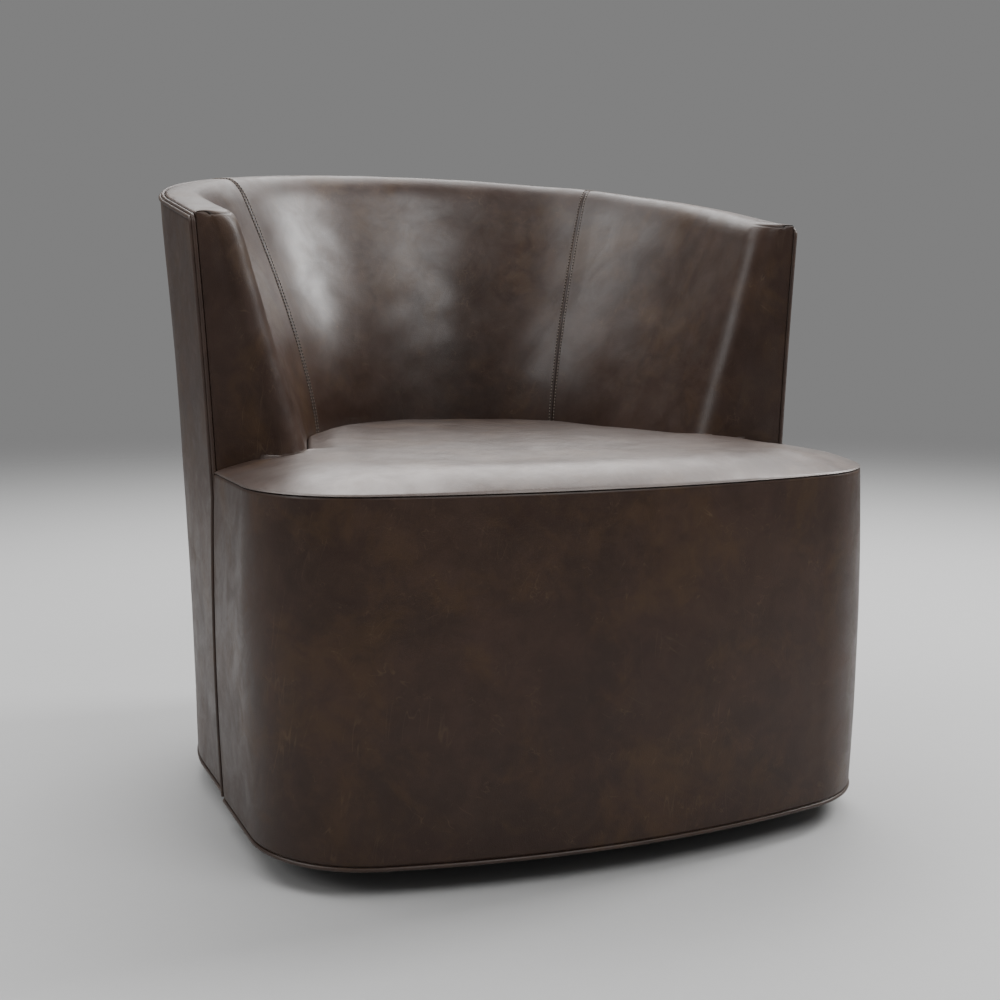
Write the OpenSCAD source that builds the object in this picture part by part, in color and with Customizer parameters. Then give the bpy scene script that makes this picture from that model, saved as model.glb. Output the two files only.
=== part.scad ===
// Swivel tub chair: a lofted leather shell on a plywood frame, turning on a ball bearing plate.
// Millimetres. Origin on the floor under the swivel axis, +Z up, the front of the seat faces -Y.

/* [Outline in plan] */
// Radius of the round back at the height of the seat seam
back_r = 379; // [370:1:390]
// Distance of the centre of the round back behind the swivel axis
back_cy = 24; // [20:1:30]
// Angle by which the sides draw in toward the front
toe = 1.4; // [0.5:0.1:2]
// Radius of the front corners of the seat block
corner_r = 141; // [120:1:150]
// Radius of the bowed front
front_r = 1134; // [1000:10:1300]
// Reach of the bowed front ahead of the swivel axis
front_reach = 424; // [415:1:430]
// Distance of the arm end faces ahead of the swivel axis
arm_reach = 120; // [110:1:128]

/* [Heights] */
// Clearance between the hem and the floor
hem_z = 30; // [30:0.5:33]
// Height of the seam between the seat top and the front border
seat_seam_z = 420; // [410:1:430]
// Height of the arm top at its front end
arm_top_z = 705.8; // [680:1:730]
// Rise of the seat crown over its seam
seat_crown = 23; // [15:1:26]
// Width over which the seat top rises from its seam
seat_edge_w = 60; // [45:1:80]
// Dip of the seat top where it meets the tub
seat_tuck = 9; // [5:0.5:12]
// Width of that dip
tuck_w = 36; // [25:1:45]
// Tilt of the rim, lowest at the arm ends
rim_tilt = 10.06; // [8:0.1:11]

/* [Shape of the outside] */
// Outward step of the shell at the seam height
shell_step = 2.3; // [1.5:0.1:3]
// Slope of the shell's flare at the seam height
flare = 0.0412; // [0.035:0.001:0.045]
// Growth of that slope with height
flare_growth = 0.0000466; // [0.00004:0.000001:0.00005]
// Slope of the block's bulge below the seam
bulge = 0.0403; // [0.035:0.001:0.045]
// Growth of the bulge's slope with depth
bulge_growth = 0.0001153; // [0.0001:0.000001:0.00012]

/* [Shape of the tub inside] */
// Distance of the tub's centre at seat height behind the swivel axis
tub_cy = 60; // [52:1:64]
// Depth of the tub wall at seat height
wall_w = 164.4; // [160:0.2:172]
// Angle by which the inner arm faces open toward the front
splay = 14; // [12:0.5:15]
// Width of the rim from the outline in to the tub
rim_w = 37; // [35:0.5:41]
// Angle by which the inner arm faces draw in at the rim
top_toe = 3.8; // [3:0.1:4.5]
// Height of the crease between seat and back
crease_z = 433; // [428:1:438]
// Share of the height at which the shoulder of the rim begins
shoulder_at = 0.9; // [0.86:0.01:0.92]
// Exponent of the back's hollow curve
hollow = 1.62; // [1.4:0.01:1.7]
// Width of the rounded shoulder
shoulder_w = 36; // [30:1:38]
// Crown of the padded rim
rim_crown = 4; // [2:0.5:6]
// Radius of the rounded inner edge of the arm ends
arm_round = 38; // [32:1:42]
// Angle from the side at which the back panel meets an arm panel
seam_angle = 42; // [39:0.5:44]

/* [Covers and padding] */
// Thickness of the leather
leather_t = 2; // [1.6:0.1:2]
// Gap between neighbouring layers
layer_gap = 0.4; // [0.3:0.05:0.45]
// Thickness of the padding on the outside
outside_pad_t = 5.6; // [4.5:0.1:6]
// Thickness of the padding on the front border
border_pad_t = 8.6; // [7:0.1:9]
// Thickness of the bent fibreboard panels
board_t = 4; // [3:0.1:4]
// Thickness of the padding on the arm ends
end_pad_t = 5.8; // [5:0.1:6]
// Radius of one bead of the double welt
bead_r = 2.4; // [2:0.1:2.5]
// Radius of the hem welt
hem_bead_r = 2.4; // [2:0.1:2.4]
// Gap between the sides of the seat foam and the tub wall
seat_fit = 1.6; // [1.2:0.1:2]

/* [Timber frame] */
// Thickness of the plywood rings and rails
ply_t = 18; // [17:0.5:18.5]
// Band width of the bottom ring
bottom_band = 70; // [60:1:76]
// Band width of the seat ring
seat_band = 80; // [74:1:84]
// Height of the seat ring's top over the floor
seat_ring_top = 318; // [312:1:322]
// Width and depth of the posts
post_w = 36; // [32:1:38]
// Distance of the posts in from the panels
post_set = 8; // [6:1:10]
// Distance of the front posts from the middle
front_post_x = 55; // [50:1:60]
// Depth of the ribs at the seat ring
rib_foot = 50; // [44:1:52]
// Width of the top rail
top_rail_w = 28; // [26:1:29]
// Distance of the top rail below the rim
top_rail_drop = 22; // [20:1:26]
// Width of the cross rails
cross_rail_w = 40; // [36:1:42]
// Height of the cross rails
cross_rail_h = 38; // [34:1:42]
// Distance of a cross rail's middle from the swivel axis
cross_rail_x = 115; // [113:0.5:117]
// Distance of the cross rails' ends in from the panels
rail_set = 22; // [20:1:26]
// Thickness of the rail that holds the springs at the back
spring_rail_t = 20; // [18:1:22]
// Depth of that rail
spring_rail_h = 60; // [50:1:66]
// Distance of that rail's middle behind the swivel axis
spring_rail_y = 236; // [230:1:238]
// Radius of the hole in the dust cover
dust_hole_r = 173; // [168:1:176]

/* [Springs] */
// Diameter of the spring wire
wire_d = 3.8; // [3.2:0.1:4]
// Number of straight bars in a spring
spring_bars = 21; // [17:2:23]
// Length of a straight bar
bar_l = 26; // [22:1:28]
// Number of springs
spring_count = 4; // [3:1:4]
// Distance between springs
spring_pitch = 100; // [90:1:102]
// Thickness of the clip steel
clip_t = 1.2; // [1:0.1:1.4]
// Width of a spring clip
clip_w = 22; // [18:1:24]
// Diameter of the tie wires
tie_d = 2; // [1.6:0.1:2.4]
// Thickness of the pad over the springs
pad_t = 4; // [3:0.5:5]
// Distance of the lowest elastic web below the crease
web_drop = 50; // [44:1:54]
// Height of an elastic web
web_h = 45; // [38:1:50]
// Thickness of an elastic web
web_t = 1.6; // [1.2:0.1:1.8]

/* [Swivel] */
// Radius of the base disc
base_r = 260; // [230:1:280]
// Height of a glide
glide_h = 6; // [5:0.5:6]
// Radius of a glide
glide_r = 15; // [12:1:18]
// Number of glides
glide_count = 5; // [4:1:6]
// Width of the square swivel plates
plate_w = 200; // [196:1:206]
// Thickness of the swivel plates
plate_t = 2.5; // [2:0.1:2.6]
// Radius of the ball track
track_r = 70; // [66:1:72]
// Diameter of a ball
ball_d = 8; // [7.8:0.1:8.2]
// Number of balls
ball_count = 24; // [18:1:26]
// Running clearance of a ball
ball_clearance = 0.15; // [0.1:0.01:0.2]
// Distance of a plate's fixings from its middle lines
bolt_at = 85; // [82:0.5:86]
// Diameter of the king pin
pin_d = 10; // [9:0.1:11]
// Width and depth of the mounting board
mount_w = 262; // [256:1:266]
// Thickness of the mounting board
mount_t = 12; // [11.5:0.5:12.5]
// Diameter of a bolt
bolt_d = 8; // [7.5:0.1:8]
// Diameter of a wood screw
screw_d = 5; // [4.5:0.1:5]
// Clearance round a screw or bolt
hole_clearance = 0.3; // [0.2:0.05:0.4]

/* [Hidden] */
$fn = 48;
arm_y = -arm_reach;
arc_step = 7.5;
fit = 0.3;
tub_r = back_r - wall_w;
top_r = back_r - rim_w;
// Depths below the outer surface at which the layers begin
pad_in = leather_t + layer_gap;
board_in = pad_in + outside_pad_t + layer_gap;
frame_in = board_in + board_t + layer_gap;
front_board_in = pad_in + border_pad_t + layer_gap;
front_frame_in = front_board_in + board_t + layer_gap;
// Middles of the double welt's beads, and how far it sets the covers back from its edge
bead_far = 1.45 * bead_r;
bead_near = 0.25 * bead_r;
welt_back = bead_far + bead_r + bead_near;
// Heights of the stack below the chair
disc_z = glide_h;
lower_plate_z = disc_z + ply_t;
ball_z = lower_plate_z + plate_t + ball_d / 2 + 0.5;
upper_plate_top = 2 * ball_z - lower_plate_z;
upper_plate_z = upper_plate_top - plate_t;
mount_top = upper_plate_top + mount_t;
bottom_ring_z = mount_top - ply_t;
seat_ring_z = seat_ring_top - ply_t;
// Springs and what lies on them
spring_z = seat_ring_top + clip_t + hole_clearance + wire_d / 2;
tie_z = spring_z + wire_d / 2 + 0.2 + tie_d / 2;
pad_z = tie_z + tie_d / 2 + fit;
foam_z = pad_z + pad_t + fit;
clip_slot = wire_d + 2 * hole_clearance;
tub_foam_z = seat_ring_top + 2 * clip_t + clip_slot + fit;
// Front face of the boards in the arm ends, front ends of the shell's frame and of the block's covers
end_board_y = arm_y + leather_t + end_pad_t + 2 * layer_gap;
shell_y = end_board_y + ply_t + 2 * layer_gap;
block_y = arm_y - 2.6;

// Closed form of the corner: a circle that touches the side line and the bowed front
corner_n = [cos(toe), -sin(toe)];
corner_d = [-sin(toe), -cos(toe)];
corner_a = [0, back_cy] + (back_r - corner_r) * corner_n - [0, front_r - front_reach];
corner_ad = corner_a * corner_d;
corner_s = -corner_ad + sqrt(corner_ad * corner_ad - corner_a * corner_a + pow(front_r - corner_r, 2));
corner_c = [0, back_cy] + (back_r - corner_r) * corner_n + corner_s * corner_d;
bow_angle = asin(corner_c[0] / (front_r - corner_r));

// Offsets of the two outer surfaces from the outline at seam height
function shell_off(z) =
    shell_step + flare * (z - seat_seam_z) + flare_growth * pow(z - seat_seam_z, 2);
function block_off(z) = -bulge * (z - seat_seam_z) - bulge_growth * pow(z - seat_seam_z, 2);

// Height of the rim's edge at a depth y
function rim_z(y) = arm_top_z + (y - arm_y) * tan(rim_tilt);

// A station is [0, y] on the right side, [1, angle] on the round back, [2, y] on the left side
function st_origin(s) = s[0] == 1 ? [0, back_cy] : [0, s[1]];
function st_dir(s) = s[0] == 1 ? [cos(s[1]), sin(s[1])] : [s[0] == 0 ? 1 : -1, 0];
function st_point(s, r, z) = let (p = st_origin(s) + r * st_dir(s)) [p[0], p[1], z];
function st_y(s, r) = st_origin(s)[1] + r * st_dir(s)[1];
function outer_r(s) =
    s[0] == 1 ? back_r : (back_r + (s[1] - back_cy) * sin(toe)) / cos(toe);
// Share of the back's hollow curve, none on the arms and full behind
function back_share(s) =
    s[0] != 1 ? 0 : let (q = min(1, (90 - abs(90 - s[1])) / 70)) q * q * (3 - 2 * q);

// Tub wall at seat height, and at the rim
tub_shift = tub_cy - back_cy;
tub_touch = atan2(tub_shift + tub_r * sin(splay), tub_r * cos(splay));
function tub_wall(s) =
    s[0] != 1 ? (tub_r - (s[1] - tub_cy) * sin(splay)) / cos(splay)
    : let (a = 90 - abs(90 - s[1]))
      a < tub_touch ? (tub_r + tub_shift * sin(splay)) / cos(a - splay)
      : tub_shift * sin(a) + sqrt(tub_r * tub_r - pow(tub_shift * cos(a), 2));
function top_wall(s) =
    s[0] != 1 ? (top_r + (s[1] - back_cy) * sin(top_toe)) / cos(top_toe) : top_r;
// Outward turn of the wall round the inner edge of an arm end
function end_turn(y) =
    let (d = max(0, arm_round - (y - arm_y))) arm_round - sqrt(max(0, arm_round * arm_round - d * d));
function st_turn(s) = s[0] == 1 ? 0 : end_turn(s[1]);

// Radius of the outer surface at a station and height, and the height of its edge
function shell_r(s, z) = outer_r(s) + shell_off(z);
function edge_z(s) = let (z = rim_z(st_y(s, outer_r(s)))) rim_z(st_y(s, shell_r(s, z)));

// Wall line of the inside at a station: up from z0, over the shoulder, out along the rim
function wall_gain(s) = shoulder_at + (1 - shoulder_at) * back_share(s);
function wall_power(s) = 1 + (hollow - 1) * back_share(s);
function wall_r(s, t) =
    st_turn(s) + tub_wall(s)
    + (top_wall(s) - tub_wall(s)) * wall_gain(s) * pow(t / shoulder_at, wall_power(s));
function wall_lean(s) =
    wall_gain(s) * wall_power(s) / shoulder_at * (top_wall(s) - tub_wall(s)) / (edge_z(s) - crease_z);
function crown_z(s, r, r0, r1) =
    rim_z(st_y(s, r)) + rim_crown * (1 - pow((r - r0) / (r1 - r0), 2));
function wall_line(s, z0, inset) =
    let (
        ze = edge_z(s),
        re = shell_r(s, ze),
        ra = wall_r(s, shoulder_at),
        za = crease_z + shoulder_at * (ze - crease_z),
        rb = min(ra + shoulder_w, re - inset - 6),
        zb = crown_z(s, rb, rb, re),
        rc = ra + (zb - za) * wall_lean(s),
        rm = (rb + re - inset) / 2
    )
    concat(
        [[wall_r(s, 0), z0]],
        [for (k = [0:4]) let (t = k * shoulder_at / 5) [wall_r(s, t), crease_z + t * (ze - crease_z)]],
        [for (k = [0:5]) let (q = k / 5)
            pow(1 - q, 2) * [ra, za] + 2 * q * (1 - q) * [rc, zb] + q * q * [rb, zb]],
        [[rm, crown_z(s, rm, rb, re)], [re - inset, crown_z(s, re - inset, rb, re)]]
    );

// A line moved to its right by a distance, measured square to it
function turned(v) = [v[1], -v[0]] / norm(v);
function moved(line, d) =
    let (last = len(line) - 1)
    [for (i = [0:last])
        let (
            before = turned(line[max(i, 1)] - line[max(i, 1) - 1]),
            after = turned(line[min(i, last - 1) + 1] - line[min(i, last - 1)]),
            sum = before + after
        )
        line[i] + sum * (2 * d / (sum * sum))];
function reversed(line) = [for (i = [len(line) - 1:-1:0]) line[i]];
function flipped(station) = station[0] == 1 ? [1, 180 - station[1]] : [2 - station[0], station[1]];

// Stations of the round back between two angles, and of the whole shell behind a depth
function arc_stations(a, b) =
    concat([[1, a]], [for (f = [ceil((a + 0.5) / arc_step) * arc_step:arc_step:b - 0.5]) [1, f]], [[1, b]]);
function shell_stations(y) =
    let (side = [[0, y], [0, (y + back_cy) / 2]], arm = arc_stations(0, seam_angle))
    concat(
        side,
        arm,
        [for (s = arc_stations(seam_angle, 180 - seam_angle)) if (s[1] != seam_angle) s],
        [for (s = reversed(arm)) if (s[1] != seam_angle) flipped(s)],
        [for (s = reversed(side)) flipped(s)]
    );
// Stations of the right arm from a depth to an angle, closer together round its front edge
function arm_stations(y, angle) =
    concat(
        [[0, y]],
        [for (k = [5:-1:1]) let (q = arm_y + arm_round * (1 - sin(90 * k / 6))) if (q > y + 1) [0, q]],
        [[0, arm_y + arm_round + 4], [0, (arm_y + arm_round + back_cy) / 2]],
        arc_stations(0, angle)
    );

// Points and normals along the block's front, from its left side round to its right side
function side_x(y) = (back_r + (y - back_cy) * sin(toe)) / cos(toe);
function front_half(y, steps) =
    concat(
        [[[side_x(y), y], corner_n]],
        [for (k = [0:steps])
            let (a = toe + (90 - bow_angle - toe) * k / steps, n = [cos(a), -sin(a)])
            [corner_c + corner_r * n, n]],
        [for (k = [1:4])
            let (a = 90 - bow_angle * (1 - k / 5), n = [cos(a), -sin(a)])
            [[0, front_r - front_reach] + front_r * n, n]]
    );
function mirrored(f) = [[-f[0][0], f[0][1]], [-f[1][0], f[1][1]]];
function front_path(y, steps = 8) =
    let (half = front_half(y, steps))
    concat([for (f = half) mirrored(f)], [[[0, -front_reach], [0, -1]]], reversed(half));
function front_point(f, offset, z) = let (p = f[0] + offset * f[1]) [p[0], p[1], z];

// Skin of a solid swept through closed loops of points, closed on itself or with an end cap at each
// end. A cap is a face, a strip between the two long sides of a thin loop, or a fan from its middle.
// Each side is split from its lower point, so that one layer's facets lie along the next one's.
split_way = [0.31, 0.17, 1];
function cap_faces(n, first, middle, cap) =
    cap == "strip"
        ? [for (k = [0:n / 2 - 2]) each [
            [first + k, first + k + 1, first + n - 2 - k],
            [first + k, first + n - 2 - k, first + n - 1 - k]]]
    : cap == "fan" ? [for (k = [0:n - 1]) [first + k, first + (k + 1) % n, middle]]
    : [[for (k = [0:n - 1]) first + k]];
function mean(row) = [for (p = row) 1] * row / len(row);
module sweep(rows, closed = false, cap = "face") {
    n = len(rows[0]);
    m = len(rows);
    spans = closed ? m : m - 1;
    sides = [for (i = [0:spans - 1], j = [0:n - 1])
        let (
            k = (j + 1) % n,
            next = ((i + 1) % m) * n,
            a = i * n + j,
            b = i * n + k,
            c = next + k,
            d = next + j,
            along = (rows[i][k] - rows[i][j]) * split_way > 0
        )
        each along ? [[a, b, c], [a, c, d]] : [[a, b, d], [b, c, d]]];
    ends = closed ? [] : concat(
        [for (f = cap_faces(n, 0, n * m, cap)) reversed(f)],
        cap_faces(n, (m - 1) * n, n * m + 1, cap)
    );
    points = [for (row = rows, p = row) p];
    middles = cap == "fan" ? [mean(rows[0]), mean(rows[m - 1])] : [];
    polyhedron(points = concat(points, middles), faces = concat(sides, ends), convexity = 8);
}

// A layer of the shell between two depths below its surface, from z0 to a drop below the rim
shell_levels = [0, 0.28, 0.52, 0.66, 0.78, 0.9, 1];
module shell_layer(y, near, far, z0, drop) {
    sweep([for (s = shell_stations(y))
        let (z1 = edge_z(s) - drop, zs = [for (t = shell_levels) z0 + t * (z1 - z0)])
        concat(
            [for (z = reversed(zs)) st_point(s, shell_r(s, z) - far, z)],
            [for (z = zs) st_point(s, shell_r(s, z) - near, z)]
        )], cap = "strip");
}

// A layer of the block's front between two depths below its surface
module front_layer(y, near, far, z0, z1) {
    zs = [for (k = [0:4]) z0 + (z1 - z0) * k / 4];
    sweep([for (f = front_path(y))
        concat(
            [for (z = reversed(zs)) front_point(f, block_off(z) - far, z)],
            [for (z = zs) front_point(f, block_off(z) - near, z)]
        )], cap = "strip");
}

// Closed outline in plan at a height, a depth below the shell behind and below the block in front
function plan_outline(z, shell_depth, block_depth) =
    concat(
        [for (s = shell_stations(arm_y)) let (p = st_point(s, shell_r(s, z) - shell_depth, 0)) [p[0], p[1]]],
        [for (f = front_path(arm_y - 4)) let (p = front_point(f, block_off(z) - block_depth, 0)) [p[0], p[1]]]
    );
module plan_ring(z_ref, z, band) {
    translate([0, 0, z])
        linear_extrude(ply_t)
            difference() {
                polygon(plan_outline(z_ref, frame_in, front_frame_in));
                polygon(plan_outline(z_ref, frame_in + band, front_frame_in + band));
            }
}

// Half width of the seat at a depth y, with its edge set in from the outline
function front_half_w(y, inset) =
    y > corner_c[1] ? (back_r - inset + (y - back_cy) * sin(toe)) / cos(toe)
    : y > front_r - front_reach - (front_r - inset) * cos(bow_angle)
        ? corner_c[0] + sqrt(max(0, pow(corner_r - inset, 2) - pow(y - corner_c[1], 2)))
    : sqrt(max(0, pow(front_r - inset, 2) - pow(y - front_r + front_reach, 2)));
function tub_half_w(y) =
    let (r = tub_r - seat_fit)
    end_turn(y)
    + (y < tub_cy + r * sin(splay) ? (r - (y - tub_cy) * sin(splay)) / cos(splay)
       : sqrt(max(0, r * r - pow(y - tub_cy, 2))));
// What lies under the cover stops short of the step in its outline at the arm ends
function seat_half_w(y, inset) =
    y < block_y ? front_half_w(y, inset)
    : y < arm_y - 0.6 && inset == 0 ? side_x(arm_y) - welt_back - 3
    : tub_half_w(max(y, arm_y)) - (inset == 0 ? 0 : 0.8);
// Height of the seat top: a rise in from the seam, and a dip at the tub wall
function rise(q) = q >= 1 ? 1 : 1 - pow(1 - max(0, q), 2.2);
function seam_distance(x, y) =
    y > arm_y ? seat_edge_w
    : let (
        c = [abs(x), y] - corner_c,
        in_corner = c[1] < 0 && c[0] > 0 && c[0] * cos(bow_angle) > -c[1] * sin(bow_angle),
        front = front_r - norm([x, y - front_r + front_reach]),
        side = side_x(y) - abs(x)
    )
    in_corner ? corner_r - norm(c) : min(front, side);
function wall_distance(x, y) =
    y < arm_y ? tuck_w
    : y < tub_cy ? (tub_half_w(y) - abs(x)) * cos(splay)
    : tub_r - seat_fit - norm([x, y - tub_cy]);
function seat_top(x, y) =
    let (
        q = max(0, min(1, wall_distance(x, y) / tuck_w)),
        near_arm = min(1, max(0, (y - arm_y + 60) / 60))
    )
    seat_seam_z + seat_crown * rise(seam_distance(x, y) / seat_edge_w)
    - seat_tuck * near_arm * (1 - q * q * (3 - 2 * q));
// Depths of the seat's rows, closer at its front, its arm corners and its back
function seat_rows(inset) =
    let (front = -front_reach + inset, back = tub_cy + tub_r - seat_fit)
    concat(
        [for (q = [0.01, 0.05, 0.13, 0.28, 0.5, 0.8, 1.25, 1.8, 2.5]) front + q * seat_edge_w],
        [(front + 2.5 * seat_edge_w + arm_y) / 2, arm_y - 60, arm_y - 28],
        [block_y - fit, block_y + 0.2, arm_y - 1, arm_y - 0.5],
        [for (k = [5:-1:0]) arm_y + arm_round * (1 - sin(90 * k / 6))],
        [for (q = [0.92, 0.66, 0.44, 0.27, 0.15, 0.066, 0.018, 0.002]) back * (1 - q)]
    );
seat_shares = [-1, -0.98, -0.93, -0.84, -0.66, -0.36, 0, 0.36, 0.66, 0.84, 0.93, 0.98, 1];

// Outline of a double welt: two round beads side by side, from point a to point b
function bead_pair(a, b, r) =
    let (e = (b - a) / norm(b - a), p = [-e[1], e[0]], waist = sqrt(r * r - pow(norm(b - a) / 2, 2)))
    concat(
        [for (k = [0:4]) let (t = 60 + 60 * k) a + r * (cos(t) * e + sin(t) * p)],
        [(a + b) / 2 - waist * p],
        [for (k = [0:4]) let (t = 240 + 60 * k) b + r * (cos(t) * e + sin(t) * p)],
        [(a + b) / 2 + waist * p]
    );

// Round square outline in plan
function soft_square(w, r) =
    [for (q = [0:3], k = [0:4])
        let (a = 90 * q + 22.5 * k, c = w / 2 - r)
        [c * (q == 0 || q == 3 ? 1 : -1), c * (q < 2 ? 1 : -1)] + r * [cos(a), sin(a)]];

module rod(d, z0, z1) {
    translate([0, 0, z0])
        cylinder(d = d, h = z1 - z0);
}
module at_corners(a) {
    for (x = [-a, a], y = [-a, a])
        translate([x, y, 0])
            children();
}
module at_glides() {
    for (k = [0:glide_count - 1])
        rotate([0, 0, 90 + 360 * k / glide_count])
            translate([base_r - glide_r - 12, 0, 0])
                children();
}

// Swivel base
screw_head_d = 1.8 * screw_d;
screw_head_h = 0.6 * screw_d;
screw_hole_d = screw_d + 2 * hole_clearance;
pin_hole_d = pin_d + 2 * hole_clearance;
pin_head_d = 2 * pin_d;
pin_head_h = pin_d / 2;
pin_well_d = pin_head_d + 14;
washer_h = 2;
mount_well_d = pin_head_d + 24;

module base_disc() {
    chamfer = 3;
    color("#161616")
        difference() {
            rotate_extrude($fn = 96)
                polygon([
                    [pin_well_d / 2, disc_z],
                    [base_r - chamfer, disc_z],
                    [base_r, disc_z + chamfer],
                    [base_r, disc_z + ply_t - chamfer],
                    [base_r - chamfer, disc_z + ply_t],
                    [pin_well_d / 2, disc_z + ply_t]
                ]);
            at_corners(bolt_at)
                rod(screw_hole_d, disc_z + 3, disc_z + ply_t + 1);
            at_glides()
                rod(screw_hole_d, disc_z - 1, disc_z + ply_t - 3);
        }
}
module glides() {
    edge = 2;
    color("#222222")
        at_glides()
            rotate_extrude()
                polygon([
                    [screw_hole_d / 2, screw_head_h + 1],
                    [screw_head_d / 2 + hole_clearance, screw_head_h + 1],
                    [screw_head_d / 2 + hole_clearance, 0],
                    [glide_r - edge, 0],
                    [glide_r, edge],
                    [glide_r, glide_h],
                    [screw_hole_d / 2, glide_h]
                ]);
}
module glide_screws() {
    color("#9a9a9a")
        at_glides() {
            rod(screw_head_d, 1, 1 + screw_head_h);
            rod(screw_d, 1 + screw_head_h, disc_z + ply_t - 4);
        }
}
// Half of a ball track: a square plate with a raised ring, grooved for the balls
module track_plate(hole_d, fixing_d) {
    groove_r = ball_d / 2 + ball_clearance;
    ring_w = ball_d + 8;
    difference() {
        union() {
            linear_extrude(plate_t)
                polygon(soft_square(plate_w, 16));
            difference() {
                rod(2 * track_r + ring_w, plate_t, plate_t + 3);
                rod(2 * track_r - ring_w, plate_t - 1, plate_t + 4);
            }
        }
        rotate_extrude($fn = 96)
            translate([track_r, ball_z - lower_plate_z])
                circle(r = groove_r);
        rod(hole_d, -1, plate_t + 1);
        at_corners(bolt_at)
            rod(fixing_d, -1, plate_t + 1);
    }
}
module swivel_lower_plate() {
    color("#7d8187")
        translate([0, 0, lower_plate_z])
            track_plate(pin_hole_d, screw_hole_d);
}
module lower_plate_screws() {
    color("#a9a9a9")
        at_corners(bolt_at) {
            rod(screw_head_d, lower_plate_z + plate_t, lower_plate_z + plate_t + screw_head_h);
            rod(screw_d, disc_z + 4, lower_plate_z + plate_t);
        }
}
module king_pin() {
    color("#8c8f94") {
        rod(pin_head_d, lower_plate_z - pin_head_h, lower_plate_z);
        rod(pin_d, lower_plate_z, upper_plate_top + washer_h + pin_d);
    }
}
module pin_nut() {
    nut_z = upper_plate_top + 0.2;
    color("#8c8f94")
        difference() {
            union() {
                rod(2.2 * pin_d, nut_z, nut_z + washer_h);
                translate([0, 0, nut_z + washer_h])
                    cylinder(d = 1.9 * pin_d, h = 0.8 * pin_d, $fn = 6);
            }
            rod(pin_d, nut_z - 1, nut_z + pin_d + washer_h + 1);
        }
}

// Ball ring between the plates
module bearing_balls() {
    color("#c9ccd1")
        for (k = [0:ball_count - 1])
            rotate([0, 0, 360 * k / ball_count])
                translate([track_r, 0, ball_z])
                    sphere(d = ball_d);
}
module ball_cage() {
    cage_t = 1.6;
    color("#b8862b")
        difference() {
            rod(2 * track_r + ball_d + 4, ball_z - cage_t / 2, ball_z + cage_t / 2);
            rod(2 * track_r - ball_d - 4, ball_z - cage_t, ball_z + cage_t);
            for (k = [0:ball_count - 1])
                rotate([0, 0, 360 * k / ball_count])
                    translate([track_r, 0, 0])
                        rod(ball_d + 2 * ball_clearance, ball_z - cage_t, ball_z + cage_t);
        }
}

// Turning half of the swivel
bolt_hole_d = bolt_d + 2 * hole_clearance;
module swivel_upper_plate() {
    color("#7d8187")
        translate([0, 0, upper_plate_top])
            mirror([0, 0, 1])
                track_plate(pin_hole_d, bolt_hole_d);
}
module upper_plate_bolts() {
    head_d = 1.6 * bolt_d;
    head_h = 3.6;
    nut_d = 1.7 * bolt_d;
    nut_h = 6;
    color("#8f9296")
        at_corners(bolt_at) {
            rod(head_d, upper_plate_z - head_h, upper_plate_z);
            rod(bolt_d, upper_plate_z, mount_top);
            translate([0, 0, mount_top])
                cylinder(d = nut_d, h = nut_h, $fn = 6);
        }
}
screw_in = 22;
module at_board_screws() {
    for (x = [-1, 1], y = [-1, 1])
        translate([x * cross_rail_x, y * (mount_w / 2 - screw_in), 0])
            children();
}
module swivel_mount_board() {
    color("#c7a673")
        difference() {
            translate([-mount_w / 2, -mount_w / 2, upper_plate_top])
                cube([mount_w, mount_w, mount_t]);
            rod(mount_well_d, upper_plate_top - 1, mount_top + 1);
            at_corners(bolt_at)
                rod(bolt_hole_d, upper_plate_top - 1, mount_top + 1);
            at_board_screws()
                rod(screw_hole_d, upper_plate_top - 1, mount_top + 1);
        }
}
board_screw_l = 32;
module board_screws() {
    color("#a9a9a9")
        at_board_screws() {
            rod(screw_head_d, upper_plate_top - screw_head_h, upper_plate_top);
            rod(screw_d, upper_plate_top, upper_plate_top + board_screw_l);
        }
}

// Lower frame
rail_front_y = -front_reach + front_frame_in + rail_set;
rail_back_y =
    back_cy + sqrt(pow(back_r - frame_in - rail_set, 2) - pow(cross_rail_x + cross_rail_w / 2, 2));
module at_rail_screws() {
    for (x = [-cross_rail_x, cross_rail_x], y = [rail_front_y + screw_in, rail_back_y - screw_in])
        translate([x, y, 0])
            children();
}
module cross_rails() {
    color("#b98f5a")
        difference() {
            for (x = [-cross_rail_x, cross_rail_x])
                translate([x - cross_rail_w / 2, rail_front_y, mount_top])
                    cube([cross_rail_w, rail_back_y - rail_front_y, cross_rail_h]);
            at_board_screws()
                rod(screw_hole_d, mount_top - 1, upper_plate_top + board_screw_l + 1);
            at_rail_screws()
                rod(screw_hole_d, mount_top - 1, mount_top + cross_rail_h + 1);
        }
}
module rail_screws() {
    color("#a9a9a9")
        at_rail_screws() {
            rod(screw_head_d, mount_top + cross_rail_h, mount_top + cross_rail_h + screw_head_h);
            rod(screw_d, bottom_ring_z + 3, mount_top + cross_rail_h);
        }
}
module bottom_ring() {
    color("#c7a673")
        difference() {
            plan_ring(bottom_ring_z, bottom_ring_z, bottom_band);
            at_rail_screws()
                rod(screw_hole_d, bottom_ring_z + 2, mount_top + 1);
        }
}
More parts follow.
